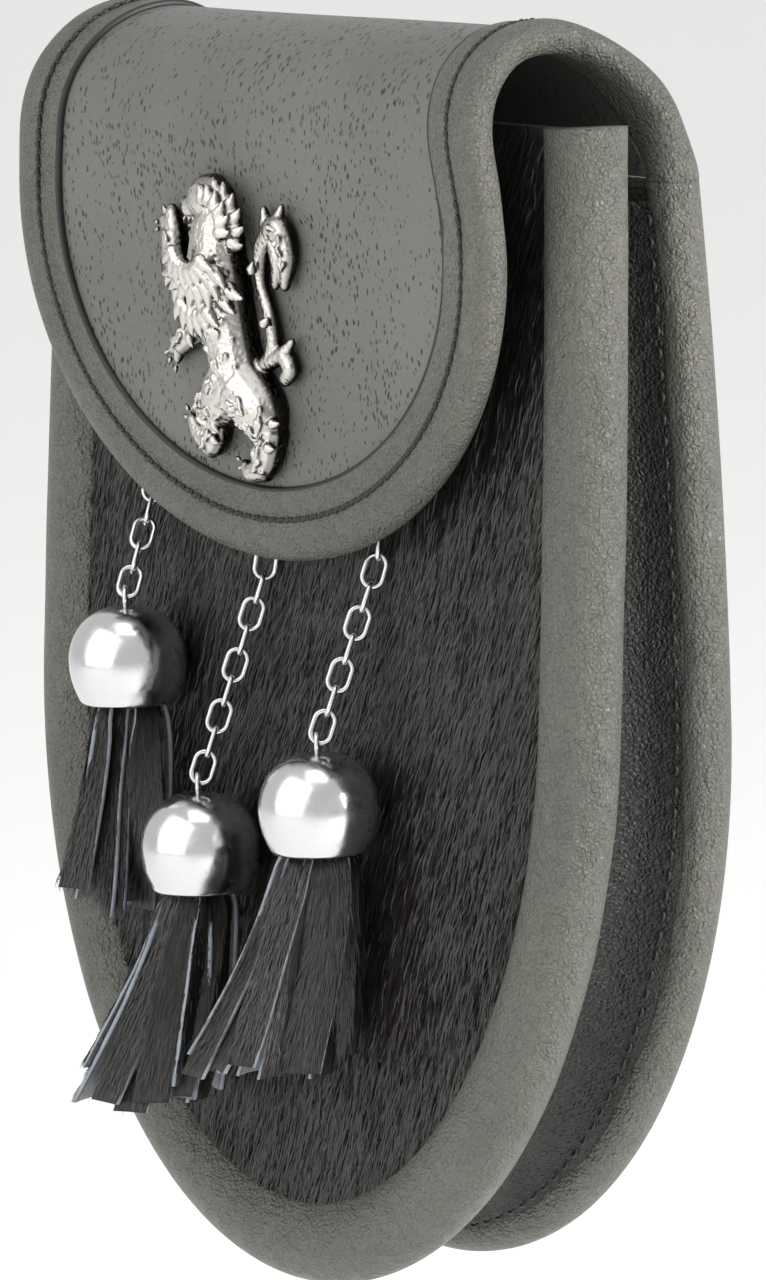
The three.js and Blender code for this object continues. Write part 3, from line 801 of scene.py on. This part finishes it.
lift = np.stack([0 * x, -rng.uniform(0.15, 0.7, len(x)), 0 * x], axis=1)
width = np.stack([np.cos(turn), 0.35 * rng.normal(size=len(x)), -np.sin(turn)], axis=1)
width = width * rng.uniform(0.07, 0.13, len(x))[:, None]
clump = smooth_field(x * 3, z * 0.6, 9, 5)
tone = np.clip(0.36 + 0.24 * clump + 0.16 * rng.normal(size=len(x)), 0, 1)
root = on_front(x, z, np.full_like(x, 0.45))
hairs("front_coat", root, lean, lift, width, front_hair, tone)

# %% [markdown]
# ## Chains
# Each chain is made of oval links. The CAD nodes give every link's place and turn: their points' longest and
# second longest directions are the link's own axes, so a smooth link is laid exactly over each.


# %% Smooth links
def node_points(name):
    """The CAD node's points, in the pouch's own layout in millimetres."""
    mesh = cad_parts[name].data
    flat = np.zeros(len(mesh.vertices) * 3)
    mesh.vertices.foreach_get("co", flat)
    return np.unique(np.round(flat.reshape(-1, 3) / MM - ORIGIN, 3), axis=0)


def link_grid(length, width, wire, around=28, section=12):
    """A torus whose halves are moved apart: the wire's centre follows a stadium, its section is a circle."""
    a = np.linspace(0, 2 * np.pi, around, endpoint=False) + np.pi / around
    r = width / 2 - wire / 2
    shift = np.sign(np.sin(a)) * (length - width) / 2
    centre = np.stack([r * np.cos(a), 0 * a, r * np.sin(a) + shift], axis=1)
    outward = np.stack([np.cos(a), 0 * a, np.sin(a)], axis=1)
    b = np.linspace(0, 2 * np.pi, section, endpoint=False)
    up = np.array([0, 1.0, 0])
    round_wire = np.cos(b)[None, :, None] * outward[:, None] + np.sin(b)[None, :, None] * up
    return centre[:, None] + wire / 2 * round_wire


def torus_quads(rows, columns):
    """Quads of a grid that closes both ways."""
    index = np.arange(rows * columns).reshape(rows, columns)
    a, b = np.roll(index, -1, 0), np.roll(index, -1, 1)
    return np.stack([index, a, np.roll(a, -1, 1), b], axis=-1).reshape(-1, 4)


LINK = {"length": 6.0, "width": 4.1, "wire": 0.82}
link_mesh = link_grid(**LINK)
link_points = link_mesh.reshape(-1, 3)
link_quads = torus_quads(*link_mesh.shape[:2])
for side in ("left", "middle", "right"):
    names = sorted(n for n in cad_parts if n.startswith(f"link_{side}_"))
    places = []
    for name in names:
        points = node_points(name)
        centre = points.mean(0)
        _, _, (long_way, wide_way, _) = np.linalg.svd(points - centre, full_matrices=False)
        places.append(centre + link_points @ np.stack([wide_way, np.cross(long_way, wide_way), long_way]))
    first_point = np.arange(len(names)) * len(link_points)
    points = np.concatenate(places)
    faces = outward_quads(points, (link_quads[None] + first_point[:, None, None]).reshape(-1, 4))
    chain = new_mesh(f"chain_{side}", points, faces.tolist())
    set_tone(chain, np.full(len(points), 0.6))
    finish_piece(chain, names, [chrome])


# %% [markdown]
# ## Cups
# A cup is a turned dome: a profile spun round its axis, open below, with a round eye on top for the last link.


# %% Cups
def spin_grid(profile, steps=56):
    """Each profile point (r, z) is carried round the z axis."""
    a = np.linspace(0, 2 * np.pi, steps, endpoint=False)
    a = a[:, None]
    r, z = profile[None, :, 0], profile[None, :, 1]
    return np.stack([r * np.cos(a), r * np.sin(a), z + 0 * a], axis=-1)


CUP = {"bottom": 8.2, "eye": 1.8, "wire": 0.8}
outer = np.array([(0.05, 7.4), (2.4, 7.3), (4.8, 6.6), (7.0, 5.1), (8.6, 2.9),
                  (9.45, 0.4), (9.6, -2.0), (9.2, -4.6), (8.5, -6.6), (7.95, -7.8)])
lip = np.array([(7.6, -8.15), (7.2, -7.9)])
hollow = np.array([(8.0, -6.2), (8.75, -2.5), (8.5, 0.2), (7.0, 3.6), (4.0, 5.8), (0.05, 6.5)])


def dense(profile, count):
    """More points along a profile, on a smooth curve through the given ones."""
    t = np.linspace(0, len(profile) - 1, count)
    padded = np.concatenate([2 * profile[:1] - profile[1:2], profile, 2 * profile[-1:] - profile[-2:-1]])
    i = np.minimum(t.astype(int), len(profile) - 2)
    f = (t - i)[:, None]
    a, b, c, d = (padded[i + k] for k in range(4))
    return catmull(a, b, c, d, f)


profile = np.concatenate([dense(outer, 30), lip, dense(hollow, 16)])
cup_shape = spin_grid(profile)
eye_size = 2 * CUP["eye"] + CUP["wire"]
eye_ring = link_grid(eye_size, eye_size, CUP["wire"])
CUPS = {}
for side in ("left", "middle", "right"):
    points = node_points(f"cup_{side}")
    low, high = points.min(0), points.max(0)
    middle = (low + high) / 2
    dome_z = low[2] + CUP["bottom"]
    CUPS[side] = np.array([middle[0], middle[1], low[2]])
    ring = points[points[:, 2] > high[2] - 2.0]
    _, _, (_, _, flat_normal) = np.linalg.svd(ring - ring.mean(0), full_matrices=False)
    across = np.cross(flat_normal, [0, 0, 1.0])
    across /= np.linalg.norm(across)
    eye_turn = np.stack([across, np.cross([0, 0, 1.0], across), [0, 0, 1.0]])
    dome = cup_shape.reshape(-1, 3) + [middle[0], middle[1], dome_z]
    eye = eye_ring.reshape(-1, 3) @ eye_turn + [middle[0], middle[1], high[2] - CUP["eye"] - 0.35]
    rows, columns = cup_shape.shape[:2]
    index = np.arange(rows * columns).reshape(rows, columns)
    below = np.roll(index, -1, 0)
    quads = np.stack([index[:, :-1], below[:, :-1], below[:, 1:], index[:, 1:]], axis=-1).reshape(-1, 4)
    quads = outward_quads(dome, quads)
    eye_quads = outward_quads(eye, torus_quads(*eye_ring.shape[:2]))
    caps = [index[:, 0].tolist(), index[:, -1].tolist()[::-1]]
    faces = quads.tolist() + (eye_quads + len(dome)).tolist() + caps
    made = new_mesh(f"cup_dome_{side}", np.concatenate([dome, eye]), faces)
    set_tone(made, np.full(len(dome) + len(eye), 0.7))
    finish_piece(made, [f"cup_{side}"], [chrome])

# %% [markdown]
# ## Tassels
# A tassel is a bundle of strips cut from hair-on hide. Each strip is a thin ribbon: pinched in the cup, then
# hanging and fanning outwards, with a slow twist. Hair covers its outer side and frays past its edges.

# %% Tassel strips
TASSELS = {
    "left": {"drift": (-2.0, -4.0), "spread": 3.5, "length": 37, "strips": 15, "seed": 21},
    "middle": {"drift": (-7.0, -6.0), "spread": 8.0, "length": 38, "strips": 16, "seed": 22},
    "right": {"drift": (-8.0, -6.0), "spread": 9.5, "length": 40, "strips": 17, "seed": 23},
}
STEPS, ACROSS = 22, 7
HAIR_SIDE, FLESH_SIDE, CUT_EDGE = 0, 1, 2  # material numbers of a strip


def strip_frames(top, seed, drift, spread, length, strips):
    """Centre lines, across directions and outward directions of all the strips of a tassel.
    centre(t) = top + drift t^1.3 + fan(t) - length t, with small waves; the fan opens at the cup's mouth."""
    local = np.random.default_rng(seed)
    angle = np.linspace(0, 2 * np.pi, strips, endpoint=False) + local.uniform(-0.15, 0.15, strips)
    t = np.linspace(0, 1, STEPS)[None, :]
    ring = local.uniform(0.45, 1.0, strips)[:, None]
    cos, sin = np.cos(angle)[:, None], np.sin(angle)[:, None]
    long = (length * local.uniform(0.9, 1.04, strips))[:, None]
    fan = ring * (3.0 + 3.4 * np.clip(t / 0.16, 0, 1)) + spread * ring * t ** 1.2
    wave = local.uniform(-1.2, 1.2, (2, strips, 1)) * np.sin(np.pi * t * local.uniform(0.8, 1.5, (2, strips, 1)))
    x = top[0] + drift[0] * t ** 1.3 + fan * cos + wave[0]
    y = top[1] + drift[1] * t ** 1.3 + 0.72 * fan * sin + wave[1]
    z = top[2] - long * t + 0 * x
    twist = local.normal(0, 0.55, strips)[:, None] * t + local.normal(0, 0.25, strips)[:, None]
    across = np.stack([-np.sin(angle[:, None] + twist), np.cos(angle[:, None] + twist), 0 * x], axis=-1)
    outward = np.stack([np.cos(angle[:, None] + twist), np.sin(angle[:, None] + twist), 0 * x + 0.1], axis=-1)
    return np.stack([x, y, z], axis=-1), across, outward, t


def ribbon_piece(name, centre, across, outward, t, local):
    """Closed ribbons: a thin rounded section, narrow in the cup and full width below it."""
    strips = len(centre)
    half = 2.9 * np.clip(0.55 + 1.6 * t, 0, 1) * local.uniform(0.85, 1.2, (strips, 1))
    s = np.linspace(-1, 1, ACROSS)
    curl = local.uniform(-0.5, 0.9, (strips, 1, 1))
    bow = (0.35 - curl * s ** 2)[..., None]
    front = centre[:, :, None] + across[:, :, None] * (half[..., None, None] * s[:, None]) + outward[:, :, None] * bow
    rear = front - outward[:, :, None] * 0.7
    loop = np.concatenate([front, rear[:, :, ::-1]], axis=2)
    columns = 2 * ACROSS
    quads = grid_quads(STEPS, columns, True)
    faces, marks = [], []
    column = np.tile(np.arange(columns), STEPS - 1)
    edge = (column == ACROSS - 1) | (column == columns - 1)
    kind = np.where(column < ACROSS - 1, HAIR_SIDE, np.where(edge, CUT_EDGE, FLESH_SIDE))
    for i in range(strips):
        base = i * STEPS * columns
        points = loop[i].reshape(-1, 3)
        flip = signed_volume(points - points.mean(0), quads) < 0
        group = quads.tolist() + end_faces(STEPS, columns)
        faces += [[j + base for j in (f[::-1] if flip else f)] for f in group]
        marks += kind.tolist() + [CUT_EDGE, CUT_EDGE]
    made = new_mesh(name, loop.reshape(-1, 3), faces)
    for material in (strip_hair_side, suede, suede_edge):
        made.data.materials.append(material)
    made.data.polygons.foreach_set("material_index", np.array(marks, dtype=np.int32))
    return made, half, curl


for side, facts in TASSELS.items():
    top = CUPS[side] + [0, 0, 4.5]
    local = np.random.default_rng(facts["seed"] + 50)
    centre, across, outward, t = strip_frames(top, **facts)
    strips_piece, half, curl = ribbon_piece(f"tassel_strips_{side}", centre, across, outward, t, local)
    finish_piece(strips_piece, [f"tassel_{side}"])
    count = 650 * facts["strips"]
    strip = local.integers(0, facts["strips"], count)
    way = local.uniform(0.10, 0.93, count)
    low = np.minimum((way * (STEPS - 1)).astype(int), STEPS - 2)
    part = (way * (STEPS - 1) - low)[:, None]
    pick = lambda field: field[strip, low] * (1 - part) + field[strip, low + 1] * part
    s = local.uniform(-1.02, 1.02, count)
    h = half[strip, low] * (1 - part[:, 0]) + half[strip, low + 1] * part[:, 0]
    bow = 0.36 - curl[strip, 0, 0] * s ** 2
    root = pick(centre) + pick(across) * (s * h)[:, None] + pick(outward) * bow[:, None]
    down = centre[strip, low + 1] - centre[strip, low]
    down /= np.linalg.norm(down, axis=1, keepdims=True)
    sway = pick(across) * (s * 0.10 + local.normal(0, 0.07, count))[:, None]
    lean = (down + sway) * local.uniform(2.2, 4.6, count)[:, None]
    lift = pick(outward) * local.uniform(0.10, 0.45, count)[:, None]
    width = pick(across) * local.uniform(0.06, 0.12, count)[:, None]
    tone = np.clip(local.normal(0.38, 0.25, count), 0, 1)
    hairs(f"tassel_hair_{side}", root, lean, lift, width, tassel_hair, tone)

# %% [markdown]
# ## Hidden posts and belt loops
# The chain posts under the flap keep their CAD shape with the chrome finish. The belt loops are plain strips of
# thick leather, sewn flat above and below the tunnel that takes the strap.

# %% Posts
for name in ("post_left", "post_middle", "post_right"):
    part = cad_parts[name]
    for place in part.material_slots:
        place.material = chrome
    print(name, "keeps its CAD shape")

# %% Belt loops
LOOP = {"x": 36, "z": 150, "stitch_row": 19.0, "stitch_y": 2.62, "stitches": 7}
half_line = [(22.0, 0.0), (16.5, 0.0), (14.8, 0.6), (13.4, 4.2), (12.0, 5.3)]  # (z, lift) from the end to the top
loop_line = np.array([(-z, lift) for z, lift in half_line] + [(0.0, 5.4)] + half_line[::-1])
loop_section = smooth_section([(-8, 0.5), (-7.6, 0.1), (0, 0.05), (7.6, 0.1), (8, 0.5),
                               (8, 1.7), (7.5, 2.15), (0, 2.2), (-7.5, 2.15), (-8, 1.7)], 40)


def belt_loop(name, x, cad):
    """A strip of rounded section follows the loop's side line (z, lift)."""
    z, lift = dense(loop_line, 70).T
    tz, ty = np.gradient(z), np.gradient(lift)
    size = np.hypot(tz, ty)
    out_y, out_z = tz / size, -ty / size
    across, up = loop_section
    grid_y = 0.3 + lift[:, None] + up[None] * out_y[:, None]
    grid_z = LOOP["z"] + z[:, None] + up[None] * out_z[:, None]
    grid = np.stack(np.broadcast_arrays(x + across[None], grid_y, grid_z), axis=-1)
    made = tube_piece(name, grid)
    finish_piece(made, [cad], [back_leather])
    for sign in (-1, 1):
        steps = np.linspace(-6, 6, LOOP["stitches"])
        row_z = LOOP["z"] + sign * LOOP["stitch_row"]
        here = np.stack([x + steps, LOOP["stitch_y"] + 0 * steps, row_z + 0 * steps], axis=1)
        along, out = np.tile([1.0, 0, 0], (len(steps), 1)), np.tile([0, 1.0, 0], (len(steps), 1))
        points, faces = copy_shape(stitch_shape(1.7, 0.28), here, along, np.cross(out, along), out)
        rows = new_mesh(f"{name}_stitches_{'upper' if sign > 0 else 'lower'}", points, faces)
        finish_piece(rows, [], [thread])


belt_loop("strap_loop_left", -LOOP["x"], "belt_loop_left")
belt_loop("strap_loop_right", LOOP["x"], "belt_loop_right")

# %% [markdown]
# ## Lion badge
# The badge is a cast relief of a lion on its hind legs. It is built as a sculptor would in wax: tapered rolls for
# limbs, locks of mane, claws and tail are laid on each other, then melted into one skin by a voxel remesh.

# %% Lion limbs
BADGE = {"x": -4.0, "z": 154.0, "seat": 1.4, "flat_back": 1.1, "voxel": 0.22}
LIMBS = {  # each roll's points: x and z from the badge's middle, and the radius there, in mm
    "trunk": [(-1.6, 10, 5.0), (-0.8, 4, 5.0), (0.8, -3, 4.6), (2.2, -8.5, 4.8)],
    "chest": [(-4.8, 8.0, 4.2), (-5.6, 3.0, 3.4), (-3.6, -2.0, 2.6)],
    "neck": [(-1.4, 16.8, 4.2), (-2.0, 11, 5.0)],
    "skull": [(-1.6, 20.6, 4.0), (-4.4, 20.4, 3.8), (-6.8, 19.6, 2.8)],
    "snout": [(-6.0, 19.4, 2.4), (-9.3, 18.7, 1.9)],
    "jaw": [(-4.4, 15.6, 2.0), (-8.4, 14.2, 1.4)],
    "brow": [(-5.4, 22.4, 0.9), (-8.0, 21.2, 0.7)],
    "nose": [(-9.8, 19.6, 1.2), (-10.6, 19.0, 0.9)],
    "tongue": [(-6.4, 16.2, 0.6), (-9.6, 15.8, 0.45)],
    "ear": [(-2.6, 22.6, 1.2), (-1.8, 24.0, 0.7)],
    "raised_arm": [(-6.0, 6.6, 2.6), (-10.6, 7.0, 2.4), (-13.2, 10.4, 2.3), (-13.6, 14.6, 2.2)],
    "raised_toes": [(-14.0, 14.8, 1.7), (-16.0, 16.4, 1.1)],
    "raised_toes_top": [(-13.4, 15.2, 1.7), (-13.8, 18.0, 1.1)],
    "lower_arm": [(-5.6, 1.4, 2.7), (-10.2, -1.2, 2.2), (-13.6, -3.4, 1.8)],
    "lower_toes": [(-14.2, -3.6, 1.4), (-16.4, -4.6, 0.7)],
    "lower_toes_side": [(-14.0, -4.0, 1.3), (-15.0, -6.2, 0.6)],
    "near_thigh": [(0.6, -8.5, 4.8), (-3.6, -11.6, 4.0), (-6.6, -12.6, 3.0)],
    "near_shin": [(-6.6, -12.6, 2.8), (-5.4, -16.6, 2.4), (-7.0, -19.2, 2.1)],
    "near_foot": [(-7.2, -19.2, 1.8), (-10.4, -17.2, 1.4), (-12.0, -15.2, 0.9)],
    "far_thigh": [(3.0, -9.0, 5.0), (7.2, -12.4, 4.4), (8.8, -15.4, 3.2)],
    "far_shin": [(8.8, -15.2, 3.0), (7.8, -19.2, 2.5), (6.4, -21.2, 2.3)],
    "far_foot": [(6.6, -21.6, 2.0), (3.0, -22.6, 1.5), (1.4, -21.6, 0.9)],
    "tail_root": [(3.6, -5.2, 1.5), (8.0, -5.2, 1.4), (10.8, -2.0, 1.5), (10.4, 3.0, 1.4), (8.6, 8.0, 1.4),
                  (9.2, 13.0, 1.7), (12.0, 16.0, 2.1)],
    "tail_tuft": [(12.0, 16.4, 1.9), (14.6, 16.4, 2.0), (16.0, 12.6, 1.7), (14.6, 7.6, 0.8)],
    "tail_tuft_inner": [(12.4, 15.6, 1.4), (13.4, 11.6, 1.4), (12.2, 7.6, 0.7)],
    "tail_flame": [(10.8, 16.8, 1.2), (10.4, 19.6, 0.6)],
    "tail_flame_outer": [(13.6, 17.8, 1.1), (15.0, 20.2, 0.5)],
    "tail_curl": [(9.4, -4.6, 1.2), (13.0, -3.4, 1.4), (15.0, -5.2, 1.5), (13.2, -7.2, 1.1)],
    "tail_curl_tip": [(13.0, -3.2, 1.1), (15.6, -1.0, 0.6)],
}


def roll_between(points, around=14, steps=10):
    """A tapered roll through (x, z, r) points on a smooth line, with rounded ends; it is 0.8 as deep as wide."""
    p = dense(np.array(points, dtype=float), steps * (len(points) - 1))
    xz, r = p[:, :2], np.maximum(p[:, 2], 0.2)
    t = np.gradient(xz, axis=0)
    t /= np.linalg.norm(t, axis=1, keepdims=True) + 1e-9
    start, end = xz[0] - t[0] * r[0] * 0.75, xz[-1] + t[-1] * r[-1] * 0.75
    xz, t = np.vstack([start, xz, end]), np.vstack([t[:1], t, t[-1:]])
    r = np.concatenate([[r[0] * 0.45], r, [r[-1] * 0.45]])
    a = np.linspace(0, 2 * np.pi, around, endpoint=False)
    side = np.stack([t[:, 1], -t[:, 0]], axis=1)
    offset = r[:, None] * np.cos(a)
    deep = 0.8 * r[:, None] * np.sin(a)
    return np.stack([xz[:, :1] + side[:, :1] * offset, deep, xz[:, 1:] + side[:, 1:] * offset], axis=-1)


STOUT = 1.2  # the cast limbs are thick for their length; the head's parts are not
HEAD = ("skull", "snout", "jaw", "tongue", "ear", "brow", "nose", "tail_root")
rolls = []
for part, points in LIMBS.items():
    gain = 1 if part in HEAD else STOUT
    rolls.append(roll_between([(x, z, r * gain) for x, z, r in points]))

# %% [markdown]
# ### Mane, fur and claws
# The mane is rows of flame-shaped locks that start at the neck and point outwards and down. Smaller locks mark
# the elbows, thighs and shins, and two or three claws end each paw.


# %% Mane locks
def lock(x, z, angle, length, r, high, bend=0.5):
    """A flame-shaped lock: a tapered roll that starts at (x, z), bends as it goes, and sits at a height."""
    s = np.linspace(0, 1, 4)
    heading = angle + bend * s
    xs = x + np.cumsum(np.cos(heading)) * length / 4
    zs = z + np.cumsum(np.sin(heading)) * length / 4
    body = roll_between(list(zip(xs, zs, r * (1 - 0.8 * s ** 1.5))), 10, 5)
    body[..., 1] -= high
    return body


def lock_row(centre, radius, angles, length, r, high, bend):
    """Locks set round an arc, each pointing outwards from its centre."""
    x, z = centre
    return [lock(x + radius * math.cos(a), z + radius * math.sin(a), a, length, r, high, bend) for a in angles]


down_angles = np.radians([-158, -141, -124, -107, -90, -73, -56, -39])
side_angles = np.radians([-30, -8, 14, 36, 58, 78])
MANE = [  # centre of the arc, its radius, the angles; then each lock's length, radius, height and bend
    ((-2.0, 12.0), 6.6, down_angles, 5.2, 1.5, 3.4, 0.5),
    ((-2.0, 12.8), 4.6, down_angles + 0.17, 5.0, 1.4, 5.2, -0.4),
    ((-2.2, 14.2), 2.8, down_angles, 4.8, 1.3, 6.2, 0.4),
    ((-0.8, 16.6), 4.4, side_angles, 3.4, 1.6, 1.6, 0.7),
    ((-1.2, 17.0), 3.0, side_angles + 0.2, 3.6, 1.4, 3.2, 0.7),
    ((-2.4, 7.4), 3.6, down_angles[1:-1], 4.8, 1.3, 4.9, 0.4),
]
for row in MANE:
    rolls += lock_row(*row)
# Tufts and claws: x, z, the way each points, and for tufts their length.
TUFTS = [(-9.4, 6.0, -1.9, 2.8), (-12.0, 6.8, -1.3, 2.4), (-8.6, -1.0, -1.4, 2.6),
         (4.8, -13.4, -0.9, 2.8), (9.8, -17.6, -0.4, 2.4), (-3.6, -14.6, -1.2, 2.4), (-4.2, -17.4, -0.7, 2.0),
         (11.2, -13.8, -0.2, 2.6), (10.8, 1.6, 0.4, 2.4), (8.6, 9.6, 0.9, 2.2)]
rolls += [lock(x, z, a, length, r=1.0, high=2.2) for x, z, a, length in TUFTS]
CLAWS = [(-17.4, 15.8, 2.9), (-17.4, 14.8, 3.3), (-15.5, 17.6, 1.9),
         (-17.0, -4.8, 3.5), (-16.4, -5.8, 4.0), (-15.2, -7.0, 4.4),
         (-12.6, -14.2, 2.0), (-12.9, -15.4, 2.6), (0.4, -21.0, 2.7), (0.6, -22.2, 3.2)]
rolls += [lock(x, z, a, length=1.5, r=0.5, high=0.2, bend=0.3) for x, z, a in CLAWS]
TEETH = (-9.6, -8.3, -7.2)
rolls += [lock(x, 17.4, -1.6, length=1.1, r=0.34, high=0.9, bend=0.0) for x in TEETH]


def coat_ticks(points, count, seed):
    """Short raised ticks over a limb: at share s along it, offset o across it, on the roll's own height."""
    local = np.random.default_rng(seed)
    p = dense(np.array(points, dtype=float), 40)
    at = np.sort(local.integers(2, 36, count))
    offset = local.uniform(-0.75, 0.75, count)
    made = []
    for i, o in zip(at, offset):
        step = p[min(i + 2, 39), :2] - p[i, :2]
        heading = math.atan2(step[1], step[0]) + 0.7 * o
        side = np.array([step[1], -step[0]]) / (np.hypot(*step) + 1e-9)
        x, z = p[i, :2] + side * o * p[i, 2] * STOUT
        high = 0.8 * p[i, 2] * STOUT * math.sqrt(1 - o * o) + 0.2
        made.append(lock(x, z, heading, length=2.3, r=0.46, high=high, bend=0.5 * np.sign(o)))
    return made


COATS = {"near_thigh": 16, "far_thigh": 18, "near_shin": 10, "far_shin": 11,
         "raised_arm": 10, "lower_arm": 8, "trunk": 20, "tail_tuft": 7}  # how many ticks each limb has
for seed, (part, count) in enumerate(COATS.items()):
    rolls += coat_ticks(LIMBS[part], count, 40 + seed)
print("badge rolls", len(rolls))

# %% [markdown]
# ### Melting the rolls together
# The rolls are joined, remeshed at about a fifth of a millimetre, smoothed, and cut flat behind. Height and facing
# decide the tone: low places keep dark polish, high ones shine, and faces turned to the front get a painted
# highlight.

# %% Badge mesh
all_points, all_faces, start = [], [], 0
for roll_points in rolls:
    rows, columns = roll_points.shape[:2]
    points = roll_points.reshape(-1, 3)
    quads = grid_quads(rows, columns, True)
    flip = signed_volume(points - points.mean(0), quads) < 0
    group = quads.tolist() + end_faces(rows, columns)
    all_faces += [[i + start for i in (f[::-1] if flip else f)] for f in group]
    all_points.append(points)
    start += len(points)
wax = np.concatenate(all_points)
tilt = math.atan2(FLAP["tip_y"] + FLAP["sheet"] / 2 - arch_y[-1], arch_z[-1] - FLAP["tip"])
badge_way = BADGE["z"] - FLAP["tip"]
badge_seat = on_flap(np.array(BADGE["x"]), np.array(badge_way), np.array(FLAP["sheet"] / 2 + BADGE["seat"]))
cos_tilt, sin_tilt = math.cos(tilt), math.sin(tilt)
turned = wax @ np.array([[1, 0, 0], [0, cos_tilt, sin_tilt], [0, -sin_tilt, cos_tilt]])
badge = new_mesh("lion_relief", turned + badge_seat, all_faces)
remesh = badge.modifiers.new("melt", "REMESH")
remesh.mode = "VOXEL"
remesh.voxel_size = BADGE["voxel"] * MM
soften = badge.modifiers.new("soften", "SMOOTH")
soften.factor, soften.iterations = 0.5, 1
melted = bpy.data.meshes.new_from_object(badge.evaluated_get(bpy.context.evaluated_depsgraph_get()))
badge.modifiers.clear()
badge.data = melted
flat = np.zeros(len(melted.vertices) * 3)
melted.vertices.foreach_get("co", flat)
points = flat.reshape(-1, 3) / MM - ORIGIN - badge_seat
back_way = points[:, 1] * cos_tilt + points[:, 2] * sin_tilt
push = np.maximum(back_way - BADGE["flat_back"], 0)
points[:, 1] -= push * cos_tilt
points[:, 2] -= push * sin_tilt
melted.vertices.foreach_set("co", ((points + badge_seat + ORIGIN) * MM).ravel())
height = -(points[:, 1] * cos_tilt + points[:, 2] * sin_tilt)
melted.polygons.foreach_set("use_smooth", np.ones(len(melted.polygons), dtype=bool))
# The badge's tone: height gives its dark recesses, and faces turned to the front are made lighter as a painted
# highlight.
normals = np.zeros(len(melted.vertices) * 3)
melted.vertices.foreach_get("normal", normals)
highlight_facing = -normals.reshape(-1, 3)[:, 1]
set_tone(badge, np.clip((height + 0.6) / 5.5, 0, 1) * 0.35 + 0.65 * np.clip(highlight_facing, 0, 1) ** 3 - 0.12)
finish_piece(badge, ["lion_badge"], [pewter])

# %% [markdown]
# ## Floor and light
# The pouch hangs over a wide pale floor. One large soft light stands in front, a second at the back right for
# the rolls' sides, a weak one above, and the white world gives the rest.


# %% Stage
def stage_sheet():
    """A wide floor with a very slight swell: z = floor + 0.004 sin x sin y, in metres, seen pale from all sides."""
    steps = np.linspace(-16, 16, 33)
    x, y = np.meshgrid(steps, steps, indexing="ij")
    grid = np.stack([x, y, -0.30 + 0.004 * np.sin(x) * np.sin(y)], axis=-1)
    made = new_mesh("pale_floor", grid.reshape(-1, 3) / MM - ORIGIN, grid_quads(33, 33, False)[:, ::-1].tolist())
    material, tree, shader = new_material("pale_paper", (0.86, 0.86, 0.85), 0.9)
    bump(tree, shader, [(noise(tree, place_vector(tree), 40, 2), 0.0003, 0.1)])
    shader.inputs["Emission Color"].default_value = (1, 1, 1, 1)
    shader.inputs["Emission Strength"].default_value = 0.16
    made.data.materials.append(material)


stage_sheet()


# %% Lights
def soft_light(name, place, aim, size, power):
    """A square area light at a place, aimed at a point."""
    data = bpy.data.lights.new(name, "AREA")
    data.size, data.energy = size, power
    light = bpy.data.objects.new(name, data)
    scene.collection.objects.link(light)
    light.location = place
    light.rotation_euler = (Vector(place) - Vector(aim)).to_track_quat("Z", "Y").to_euler()
    return light


middle = (0, -0.02, -0.05)
soft_light("key", (-0.15, -1.2, 0.55), middle, size=1.7, power=11)
soft_light("side", (1.25, 0.55, 0.35), middle, size=0.6, power=22)
soft_light("top", (0.2, -0.2, 1.3), middle, size=0.8, power=4)
WORLD_STRENGTH = 0.72
world = bpy.data.worlds.new("pale")
world.use_nodes = True
world.node_tree.nodes["Background"].inputs[0].default_value = (1, 1, 1, 1)
world.node_tree.nodes["Background"].inputs[1].default_value = WORLD_STRENGTH
scene.world = world
scene.view_settings.view_transform = "Standard"
